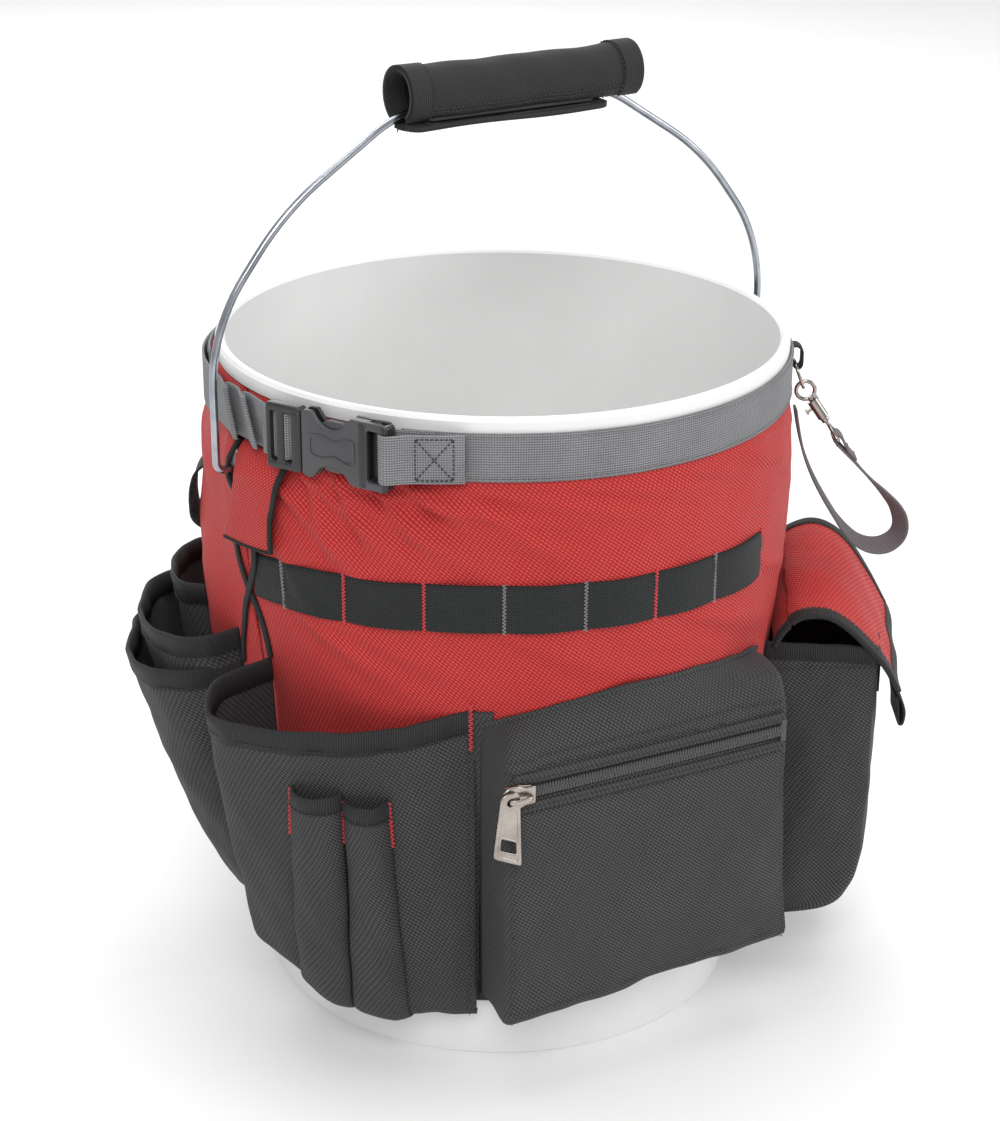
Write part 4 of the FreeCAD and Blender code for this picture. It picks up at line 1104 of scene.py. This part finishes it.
# Side pockets, from the back to the front: name, height of the rim, nearest bearing, heights with the
# radius of the belly there, rise of the rim at its far and near ends, and seed
SIDE_TIERS = [
    ("side_pocket_tall", 224.0, -116.0,
     [(50, 145.0), (80, 156.0), (130, 169.5), (190, 180.0), (226, 185.5)], -11.0, 0.0, 1),
    ("side_pocket_middle", 209.0, -99.5,
     [(50, 149.5), (80, 164.0), (130, 181.5), (185, 194.0), (210, 199.5)], -20.0, 8.0, 2),
    ("side_pocket_low", 189.0, -99.5,
     [(50, 154.0), (80, 171.5), (130, 192.0), (190, 207.5)], -24.0, 10.0, 3)]
SIDE_FAR = -146.0
# Rear pockets: name, first and last bearing, height of the rim, radius of the belly, and seed
REAR_POCKETS = [("rear_pocket_right", 98.0, 142.0, 205.0, 186.0, 4),
                ("rear_pocket_middle", 146.0, 208.0, 196.0, 181.0, 5)]
REAR_LOW = 45.0
CLEAR = 0.8


def foot_levels(base, z):
    """The two levels that close a pocket below its lowest plan curve."""
    return [(z - 4.0, pulled_in(base, z, 0.05)), (z - 3.4, pulled_in(base, z, 0.8))]


def side_pockets():
    """Three tiers of gathered pockets, the lowest in front."""
    for name, top, near, profile, far_rise, near_rise, seed in SIDE_TIERS:
        start, peak = profile[0]
        base = plan(bulge(SIDE_FAR, near, skirt_radius(start) + CLEAR, peak), 8)
        levels = foot_levels(base, start)
        for z, peak in profile:
            outline = [(b, max(radius, skirt_radius(z) + CLEAR + float(loose(b, z))))
                       for b, radius in bulge(SIDE_FAR, near, skirt_radius(z) + CLEAR, peak)]
            levels.append((z, plan(outline, 8)))
        x = np.linspace(-1, 1, len(base))
        levels[-1] = (top + x ** 2 * np.where(x > 0, near_rise, far_rise), levels[-1][1])
        grid = ripple(pocket_grid(levels, 70), 1.8, seed * 1.9, 30, 44)
        pocket(name, grid, (11.0, 3.0), 9.4)


def rear_pockets():
    for name, start, end, high, peak, seed in REAR_POCKETS:
        levels = []
        for z, lift in ((REAR_LOW, 0.35), (REAR_LOW + 40, 0.7), (REAR_LOW + 90, 0.86), (high, 1.0)):
            base = skirt_radius(z) + CLEAR
            levels.append((z, plan(bulge(start, end, base, base + lift * (peak - base)), 8)))
        levels = foot_levels(levels[0][1], REAR_LOW) + levels
        x = np.linspace(-1, 1, len(levels[0][1]))
        levels[-1] = (high + 5.0 * x ** 2 - 2.0, levels[-1][1])
        grid = ripple(pocket_grid(levels, 70), 1.6, seed * 1.9, 32, 46)
        pocket(name, grid, (11.0, 3.0), 9.4)


def ear_tabs():
    """Red tabs over the ears: a bound leaf in front, and fabric that swells over the ear behind it."""
    z = np.linspace(333.0, 281.0, 54)
    gap = 0.25 + 0.95 * np.exp(-((z - EAR_Z) / 7.0) ** 4)
    low_share = np.clip((310.0 - z) / 26.0, 0, 1)
    t = np.linspace(0, 1, 30)[:, None]
    for side, name in ((-1, "left"), (1, "right")):
        inner = 90 - gap + 5.2 * low_share ** 1.5
        far = 78.2 - 3.4 * np.clip((z - 300.0) / 30.0, 0, 1)
        bearing = side * (inner * (1 - t) + far * t)
        share = (333.0 - z) / 52.0
        radius = 154.0 + 7.0 * (1 - np.exp(-share * 9.0)) + 0.5 * np.sin(share * 7 + bearing * 0.3)
        radius = radius + 1.2 * np.exp(-((z - EAR_Z) / 9.0) ** 2) - 0.6 * t * share
        height = np.broadcast_to(z, bearing.shape) - 4.5 * (1 - t) * low_share + 1.5 * t * low_share
        front = cyl(bearing, radius, height)
        tab = cloth("tab_%s_front" % name, front, 1.3, *RED_CLOTH, flip=side < 0)
        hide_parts("ear_tab_" + name)
        bearing = side * ((90 + gap) * (1 - t) + 102.0 * t)
        swell = 6.6 * np.exp(-((z - EAR_Z) / 15.0) ** 4) * np.exp(-((np.abs(bearing) - 90.0) / 7.0) ** 4)
        rear = cyl(bearing, skirt_radius(z) + 0.8 + swell, z)
        cloth("tab_%s_rear" % name, rear, 1.3, *RED_CLOTH, flip=side > 0)
        for number, column in enumerate((front[-1], front[:, -1], rear[0])):
            normals = outward(column)
            wide = (3.2, 1.6, 3.2)[number]
            ribbon("tab_binding_%s_%d" % (name, number), column + normals * 0.1, normals, wide, 1.7, *BOUND)


def hammer_loop():
    line = spline([(156.0, 257.0), (161.0, 258.0), (165.6, 261.6), (167.4, 268.0), (167.6, 276.0),
        (166.0, 283.0), (162.0, 288.0), (156.0, 289.2)], 8)
    bearing = np.interp(line[:, 1], [257, 289], [-120.5, -124.5])
    path = cyl(bearing, line[:, 0], line[:, 1])
    across = local(-124, 1, 0, 0)
    normals = unit(np.cross(tangents(path), across))
    strip = ribbon("hammer_loop_webbing", path, -normals, 24.6, 1.5, *BLACK_STRAP)
    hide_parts("hammer_loop")


# ------------------------------------------------------------------ zipped pocket

ZIP_BEARING = -4.5
ZIP_Z = 182.0
ZIP_START = -74.0
ZIP_END = 82.0


def zip_depth(s, z):
    """Depth of the zipped pocket's front at s and z."""
    x = np.clip((np.asarray(s) - 3.0) / 82.0, -1, 1)
    belly = np.sin(np.pi * np.clip((np.asarray(z) - 50.0) / 128.0, 0, 1))
    return 160.0 + 0.7 * (1 - x ** 2) + belly * (1 - x ** 2) * 3.2


def zip_plan(z, share=1.0):
    """Plan curve of the zipped pocket at a height: left side, front and right side."""
    front_s = np.concatenate([[-79.3, -78.6, -76.6], np.linspace(-73, 79, 60), [82.6, 84.6, 85.3]])
    front_s = front_s + 6.5 * np.clip((150.0 - z) / 100.0, 0, 1) * np.clip(front_s / 80.0, 0, 1) ** 2
    depth = zip_depth(front_s, z)
    depth[:3] -= [5.0, 1.8, 0.3]
    depth[-3:] -= [0.3, 1.8, 5.0]
    front = local(ZIP_BEARING, front_s, depth, 0.0)[:, :2]
    start = cyl(-36.6, skirt_radius(z) + 1.0, 0.0)[:2]
    end = cyl(31.0, skirt_radius(z) + 1.0, 0.0)[:2]
    sides = np.linspace(0, 1, 7)[:-1, None]
    back = (front[-1] + (end - front[-1]) * sides)[1:]
    curve = np.vstack([start + (front[0] - start) * sides, front, back, end])
    return pulled_in(curve, z, share)


def zip_pocket():
    front = zip_plan(120)
    bearing = bearing_of(front)
    back_top = np.interp(bearing, [-37, -30, -21, -8, 8, 20, 31],
        [206, 210.5, 216.5, 222.5, 222.5, 218.0, 212.0])
    back_curve = cyl(bearing, skin(bearing, back_top) + 1.2, 0.0)[:, :2]
    rise = np.interp(bearing, [-37, -27, -15, 0, 31], [-3.0, -1.5, 1.5, 4.5, 7.0])
    levels = [(rise + 47.5, zip_plan(48, 0.04)), (rise + 46.8, zip_plan(48, 0.6)),
              (rise + 47.6, zip_plan(50, 0.93)), (rise + 51.5, zip_plan(52))]
    for z in (72, 95, 120, 145, 165, 180, 186):
        levels.append((z, zip_plan(z)))
    puff = np.clip((bearing - 12.0) / 12.0, 0, 1)
    levels += [(190.6 + puff, zip_plan(189, 0.97)), (197.5 + 3.5 * puff, zip_plan(192, 0.80 + 0.14 * puff)),
        (back_top * 0.5 + 99.0 + 5.5 * puff, zip_plan(198, 0.46 + 0.38 * puff)), (back_top, back_curve)]
    grid = pocket_grid(levels, 110)
    soft = ripple(grid, 1.3, 2.2, 34, 50)
    calm = np.clip((172.0 - grid[..., 2]) / 25.0, 0, 1) + np.clip((grid[..., 2] - 191.0) / 10.0, 0, 1) * 0.8
    grid = grid + (soft - grid) * calm[..., None]
    shell = cloth("zip_pocket_shell", grid, 1.3, *CLOTH)
    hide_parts("zip_pocket")
    edge = grid[:, -1]
    normals = outward(edge)
    ribbon("zip_pocket_top_edge", edge + normals * 0.1, normals, 2.6, 1.8, *CLOTH)
    normal = grid_normals(grid)
    runs = []
    for height, drift in ((192.6, 0.0), (197.5, 0.2)):
        rows = [int(np.argmin(np.abs(grid[i, :, 2] - height - (back_top[i] - 215) * drift)))
                for i in range(6, len(grid) - 6)]
        pick = np.arange(6, len(grid) - 6)
        runs.append((grid[pick, rows] + normal[pick, rows] * 0.6, normal[pick, rows]))
    for column in (8, len(grid) - 9):
        tall = grid[column, 14:80]
        runs.append((tall + normal[column, 14:80] * 0.6, normal[column, 14:80]))
    s = np.linspace(-76, 82, 60)
    out = local(ZIP_BEARING, 0, 1, 0)
    height = np.interp(s, [-76, 0, 82], [53.0, 57.0, 60.5])
    runs.append((local(ZIP_BEARING, s, zip_depth(s, 56) + 0.6, height), out))
    stitching("zip_pocket_stitches", runs, 3.2, 0.27, *SEAM)


def zipper():
    """Tapes, coil and the folded fabric above and below them."""
    out = local(ZIP_BEARING, 0, 1, 0)
    s = np.linspace(ZIP_START - 3, ZIP_END, 120)
    depth = zip_depth(s, ZIP_Z)
    for name, low, high in (("upper", 0.5, 6.2), ("lower", -6.2, -0.5)):
        z = np.linspace(ZIP_Z + low, ZIP_Z + high, 5)
        ss, zz = np.meshgrid(s, z, indexing="ij")
        grid = local(ZIP_BEARING, ss, depth[:, None] + 0.55 - 0.1 * np.abs(zz - ZIP_Z), zz)
        tape = cloth("zip_tape_%s_strip" % name, grid, 0.5, TAPE, "organizer", "zip_tape")
        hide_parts("zip_tape_" + name)
    pitch = 1.6
    count = int((ZIP_END - ZIP_START - 4) / pitch)
    places = ZIP_START + 2 + pitch * np.arange(count)
    centres, along, normals = [], [], []
    tangent = local(ZIP_BEARING, 1, 0, 0)
    for side in (-1, 1):
        offset = 0.0 if side > 0 else pitch / 2
        for value in places + offset:
            centres.append(local(ZIP_BEARING, value, zip_depth(value, ZIP_Z) + 1.0, ZIP_Z + side * 1.25))
            along.append(UP + tangent * 0.28 * side)
            normals.append(out)
    # The coil's light colour is partly a painted highlight.
    teeth = threads("zip_coil", centres, along, normals, 3.8, 0.72, *ZIP_COIL)
    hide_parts("zip_teeth")
    for name, z, width in (("upper", 189.0, 5.4), ("lower", 173.6, 5.0)):
        path = local(ZIP_BEARING, s, zip_depth(s, z) + (0.2 if name == "upper" else 0.5), z)
        ribbon("zip_fold_" + name, path, out, width, 1.9, *CLOTH)
    runs = []
    for z, lift in ((188.2, 1.25), (173.4, 1.55), (169.6, 0.5)):
        runs.append((local(ZIP_BEARING, s, zip_depth(s, z) + lift, z), out))
    stitching("zip_fold_stitches", runs, 3.0, 0.26, *SEAM)
    for name, value in (("left", ZIP_START - 2.5), ("right", ZIP_END - 1.0)):
        plate("zip_stop_" + name, [block(-1.6, 1.6, 6.4, 0.8)], 1.4, 0.4,
            local(ZIP_BEARING, value, zip_depth(value, ZIP_Z) + 0.7, ZIP_Z), tangent, UP, *ZIP_COIL)


def zip_slider():
    tangent = local(ZIP_BEARING, 1, 0, 0)
    start = -85.0
    foot = start + 3.0

    def part(name, outlines, thick, bevel, s, depth, body):
        return plate(name, outlines, thick, bevel, local(ZIP_BEARING, s, depth, ZIP_Z), tangent, UP, NICKEL,
            body, "nickel")

    crown = [(0.0, -3.4), (2.4, -6.2), (5.6, -7.0), (8.6, -6.6), (12.0, -4.9), (18.4, -4.9), (18.4, 4.9),
        (12.0, 4.9), (8.6, 6.6), (5.6, 7.0), (2.4, 6.2), (0.0, 3.4)]
    upper = part("slider_top", [rounded(crown, 1.6)], 2.0, 0.7, start, 163.6, "zip_car")
    for name, side in (("upper", 1), ("lower", -1)):
        flange = rounded([(2.0, side * 4.6), (9.0, side * 4.9), (17.6, side * 3.3), (17.6, side * 4.7),
                          (9.0, side * 6.5), (3.0, side * 6.5)], 0.6)
        part("slider_flange_" + name, [flange], 2.2, 0.5, start, 162.2, "zip_car")
    arch = spline([(3.0, 164.0), (3.2, 166.6), (5.0, 168.2), (9.5, 168.6), (13.6, 167.9), (15.2, 166.0),
                   (15.4, 164.0)], 6)
    path = local(ZIP_BEARING, start + arch[:, 0], arch[:, 1], ZIP_Z)
    side = np.broadcast_to(UP, path.shape)
    lift = unit(np.cross(side, tangents(path)))
    sweep("slider_arch", path, side, lift, oval(3.0, 1.5), NICKEL, "zip_car", "nickel")
    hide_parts("zip_slider")
    outline = rounded([(-5.2, 2.8), (-3.0, 5.0), (3.0, 5.0), (5.2, 2.8), (6.4, -37.0), (-9.4, -29.0)], 2.0)
    eye = round_profile(2.0, 16)
    window = rounded([(-5.0, -18.8), (3.4, -23.0), (3.5, -29.6), (-5.6, -25.2)], 1.2)
    inner = rounded([(-3.8, -4.5), (3.6, -4.5), (4.6, -33.8), (-7.4, -27.4)], 1.6)
    pull = part("pull_blade", [outline, eye, window], 1.5, 0.4, foot, 165.9, "zip_tag")
    part("pull_rim", [outline, inner, eye], 2.2, 0.5, foot, 166.05, "zip_tag")
    collar = rounded([((x + 0.9) * 1.28 - 0.9, (y + 24.2) * 1.34 - 24.2) for x, y in window], 1.6)
    part("pull_window_rim", [collar, window], 2.0, 0.4, foot, 166.0, "zip_tag")
    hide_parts("zip_pull")


# ------------------------------------------------------------------ lidded pocket

FLAP_FRONT = [(39, 172.0), (41, 184.0), (45, 191.5), (58, 199.0), (77, 203.6), (120, 206.0), (165, 206.4),
              (198, 205.4), (203, 205.5)]


def flap_plan(depth, round_off=9.0):
    """Plan curve of the lidded pocket with its front at a depth."""
    half = 45.0
    back = 141.5
    corner = depth - round_off
    left = [(-half, back), (-half - 0.4, back + (corner - back) * 0.25),
        (-half - 0.8, back + (corner - back) * 0.5), (-half - 0.4, back + (corner - back) * 0.8),
        (-half + 0.3, corner + round_off * 0.45), (-half + 3.4, depth - 1.6), (-half + 9, depth - 0.2)]
    middle = [(-24, depth + 0.9), (-12, depth + 0.3), (0, depth + 1.2), (12, depth + 1.4), (24, depth + 0.8)]
    right = [(-s, d) for s, d in reversed(left)]
    sd = spline(left + middle + right, 5)
    return local(LANYARD, sd[:, 0], sd[:, 1], 0.0)[:, :2]


def flap_pocket():
    levels = []
    for z, depth in FLAP_FRONT:
        levels.append((z, flap_plan(depth, 9.0 if z > 60 else 12.0)))
    n = len(levels[0][1])
    x = np.linspace(-1, 1, n)
    levels[-1] = (203 - 4.5 * (1 - np.abs(x)) + 1.5 * np.sin(x * 5), levels[-1][1])
    levels[-2] = (196.0, levels[-2][1])
    levels = [(38.0, flap_plan(148.0, 3.0))] + levels
    grid = ripple(pocket_grid(levels, 90), 2.0, 3.3, 26, 60)
    pocket("flap_pocket", grid, (9.0, 2.6), 11.5)
    ss, zz = np.meshgrid(np.linspace(-25, 25, 40), np.linspace(166, 194, 24), indexing="ij")
    patch = cloth("loop_patch", local(LANYARD, ss, 208.0 + 0.25 * np.sin(ss * 0.7), zz), 1.0, HOOKS,
        "organizer", "hook_and_loop")
    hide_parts("pocket_loop_patch")


NEAR_EDGE = [(146.5, 203.0), (149.0, 209.5), (154.0, 216.6), (161.5, 221.2), (174.5, 221.6), (186.6, 215.2),
             (197.8, 204.4), (207.6, 192.0), (214.6, 178.4)]
FAR_EDGE = [(147.8, 209.0), (151.0, 219.5), (156.5, 229.0), (163.5, 235.5), (174.5, 239.4), (185.5, 236.6),
            (196.5, 227.0), (208.2, 209.0), (220.6, 188.0)]


def lid():
    """The lid of the pocket: red fabric bound in black, bending over its sewn edge."""
    near = resample(spline(NEAR_EDGE, 10), 90)
    far = resample(spline(FAR_EDGE, 10), 90)
    s = np.linspace(-45.5, 45.5, 46)
    share = ((s + 45.5) / 91.0)[None, :, None]
    rows = near[:, None, :] * (1 - share) + far[:, None, :] * share
    t = np.linspace(0, 1, 90)[:, None]
    x = (s / 45.5)[None, :]
    crest = 2.4 * (1 - x ** 2) * np.sin(np.pi * np.clip(t * 1.1, 0, 1)) + 0.5 * np.sin(x * 7 + t * 9)
    direction = tangents(rows)
    normal2 = np.stack([direction[..., 1], -direction[..., 0]], -1)
    normal2 = normal2 * np.where(normal2[..., 1:2] + normal2[..., :1] < 0, -1, 1)
    rows = rows + normal2 * crest[..., None]
    grid = local(LANYARD, np.broadcast_to(s, rows.shape[:2]), rows[..., 0], rows[..., 1])
    start = tuple(local(LANYARD, 0, 156.5, 229.0) * MM)
    end = tuple(local(LANYARD, 0, 168.5, 231.5) * MM)
    panel = cloth("lid_panel", grid, 1.4, RED, None, "red_fabric")
    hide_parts("pocket_flap", "flap_hinge_strip")
    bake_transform(panel)
    normals = grid_normals(grid)
    for name, line, normal in (("near", grid[:, 0], normals[:, 0]), ("far", grid[:, -1], normals[:, -1])):
        strip = ribbon("lid_binding_" + name, line - normal * 0.7, normal, 7.0, 3.0, HEM, None,
            "black_fabric")
        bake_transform(strip)
    bottom, lower_normal = grid[-1], normals[-1]
    strip = ribbon("lid_binding_end", bottom - lower_normal * 0.7, lower_normal, 7.0, 3.0, *LID_HEM)
    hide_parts("flap_binding")
    runs = [(grid[:, 2] + normals[:, 2] * 0.4, normals[:, 2]),
        (grid[:, -3] + normals[:, -3] * 0.4, normals[:, -3])]
    rows = stitching("lid_edge_stitches", runs, 3.0, 0.27, BLACK_THREAD, None, "black_fabric")
    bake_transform(rows)
    stitching("lid_end_stitches", [(grid[-4] + normals[-4] * 0.4, normals[-4])], 3.0, 0.27, BLACK_THREAD,
        "pocket_lid", "black_fabric")
    line = spline([(214.2, 176.0), (217.4, 170.5), (219.6, 163.0), (218.8, 156.2), (216.6, 157.0),
        (216.0, 165.0), (214.8, 172.0)], 7)
    path = local(LANYARD, -33.0, line[:, 0], line[:, 1])
    across = local(LANYARD, 1, 0, 0)
    fold = ribbon("lid_tab", path, unit(np.cross(tangents(path), across)), 25.0, 1.4, *LID_HEM)
    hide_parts("flap_tab")
    patch_rows = grid[62:76, 12:34] - normals[62:76, 12:34] * 1.5
    patch = cloth("hook_patch", patch_rows, 1.0, HOOKS, "pocket_lid", "hook_and_loop")
    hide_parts("flap_hook_patch")


# ------------------------------------------------------------------ grip

GRIP_Z = EAR_Z + 178.5


def grip_grid(left, right, radius, columns, wobble=1.0):
    """The wrap round the bail, open along its underside: columns along it and rows round it."""
    u = np.linspace(left, right, columns)
    turn = np.radians(np.linspace(-170, 146, 74))
    uu, aa = np.meshgrid(u, turn, indexing="ij")
    sag = -1.1 * (1 - ((uu - 7) / 70.0) ** 2)
    soft = (0.22 * np.sin(uu / 9.0 + aa * 1.7) + 0.18 * np.sin(uu / 5.1 - aa * 2.6 + 1.0)
            + 0.35 * np.sin(uu / 21.0 + 2.0 + aa)) * wobble
    r = radius + soft - 0.5 * np.clip(np.cos(aa * 2.0 + 0.5), 0, 1)
    return np.stack([uu, -r * np.sin(aa), GRIP_Z + sag * wobble + r * np.cos(aa)], -1)


def grip():
    sleeve = grip_grid(-60.5, 74.5, 14.6, 120)
    body = cloth("grip_wrap", sleeve, 2.3, GRIP, "bail", "black_fabric", flip=True)
    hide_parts("grip_sleeve")
    for name, left, right in (("left", -62.4, -50.4), ("right", 64.6, 76.4)):
        tape = cloth("grip_end_" + name, grip_grid(left, right, 15.4, 14, 0.5), 3.4, HEM, "bail",
            "black_fabric", flip=True)
        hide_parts("grip_tape_" + name)
    y = np.linspace(-13.4, 4.4, 16)
    u = np.linspace(-62.0, 58.0, 90)
    uu, yy = np.meshgrid(u, y, indexing="ij")
    ends = np.clip(np.minimum(uu + 62.0, 58.0 - uu) / 7.0, 0, 1)
    squeeze = np.sqrt(1 - (1 - ends) ** 2) * 0.42 + 0.58
    yy = 4.4 - (4.4 - yy) * np.where(yy < 0, squeeze, 1.0)
    zz = EAR_Z + 161.6 - 0.5 * np.sin(uu / 16.0) - 0.25 * np.cos(yy / 3.0)
    flap = cloth("grip_flap_panel", np.stack([uu, yy, zz], -1), 2.6, HEM, "grip_closure", "black_fabric",
        flip=True)
    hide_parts("grip_flap")
    for name, low, node, body_name in (("loop", 164.6, "grip_loop_strip", "grip_closure"),
                                       ("hook", 167.0, "grip_hook_strip", "bail")):
        span = (-12.0, -4.2) if name == "loop" else (-12.4, -8.8)
        uu, yy = np.meshgrid(np.linspace(-50, 46, 90), np.linspace(*span, 8), indexing="ij")
        strip = cloth("grip_%s_patch" % name, np.stack([uu, yy, EAR_Z + low + 0 * uu], -1), 0.8, HOOKS,
            body_name, "hook_and_loop")
        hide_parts(node)
    row = sleeve[2:-2]
    normal = -grid_normals(sleeve)[2:-2]
    seam = [(row[:, k] + normal[:, k] * 0.4, normal[:, k]) for k in (-7, -9)]
    edge_left, edge_right = grip_grid(-50.0, -49.6, 14.9, 2), grip_grid(64.0, 64.4, 14.9, 2)
    for edge in (edge_left, edge_right):
        lift = unit(edge[0] - np.array([0, 0, GRIP_Z]) * np.array([0, 0, 1]) - edge[0] * np.array([1, 0, 0]))
        seam.append((edge[0] + lift * 0.6, lift))
    stitching("grip_stitches", seam, 2.6, 0.26, BLACK_THREAD, "bail", "black_fabric")


# ------------------------------------------------------------------ carried-over pieces

def finish_material(names, material):
    for name in names:
        for slot in NODES[name].material_slots:
            slot.material = material


def hardware():
    finish_material(["bucket_shell"], HDPE)
    finish_material(["bail_wire"], ZINC)
    finish_material(["lanyard_ring", "snap_body", "snap_bolt", "snap_spring", "snap_swivel_eye"], CHROME)
    keeper = spline([(153.4, 357.5), (156.0, 357.8), (158.6, 355.6), (159.0, 351.0), (158.8, 347.2),
        (157.4, 345.6), (155.0, 346.4), (153.6, 349.0)], 6)
    path = local(LANYARD, 0, keeper[:, 0], keeper[:, 1])
    across = local(LANYARD, 1, 0, 0)
    normals = unit(np.cross(across, tangents(path)))
    loop = ribbon("keeper_loop", path, normals, 9.0, 1.2, HEM, "organizer", "black_webbing")
    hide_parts("ring_keeper")
    along = np.array([-0.570, 0.822])
    eye = np.array([177.0, 310.5])
    rows = [(0.0, 2.4), (2.2, 1.6), (5.4, -1.2), (7.4, -4.0), (6.9, -5.4), (3.5, -5.5), (0.0, -5.5)]
    outline = rows + [(-s, t) for s, t in rows[-2:0:-1]]
    ring = spline(outline + [outline[0]], 5)
    places = eye + along * ring[:, 1:]
    path = local(LANYARD, ring[:, 0], places[:, 0], places[:, 1])
    facing = local(LANYARD, 0, 0.822, 0.570)
    d_eye = tube("snap_d_eye", path, 1.05, *SNAP, facing)
    stem = np.array([eye + along * t for t in np.linspace(1.6, 10.2, 8)])
    tube("snap_swivel_stem", local(LANYARD, 0, stem[:, 0], stem[:, 1]), 1.1, *SNAP, across, 12)
    collar = np.array([eye + along * t for t in (5.4, 5.9, 6.2, 7.4, 7.7, 8.0)])
    tube("snap_swivel_collar", local(LANYARD, 0, collar[:, 0], collar[:, 1]), 2.3, *SNAP, across, 16)
    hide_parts("snap_swivel_eye")


# ------------------------------------------------------------------ the whole object

place_camera()
lanyard_strap()
studio()
skirt()
slit_bindings()
band()
pleated_strap()
load_webbing()
buckle()
band_loop()
tool_pockets(front_left_pocket())
zip_pocket()
zipper()
zip_slider()
flap_pocket()
lid()
side_pockets()
rear_pockets()
ear_tabs()
hammer_loop()
grip()
hardware()
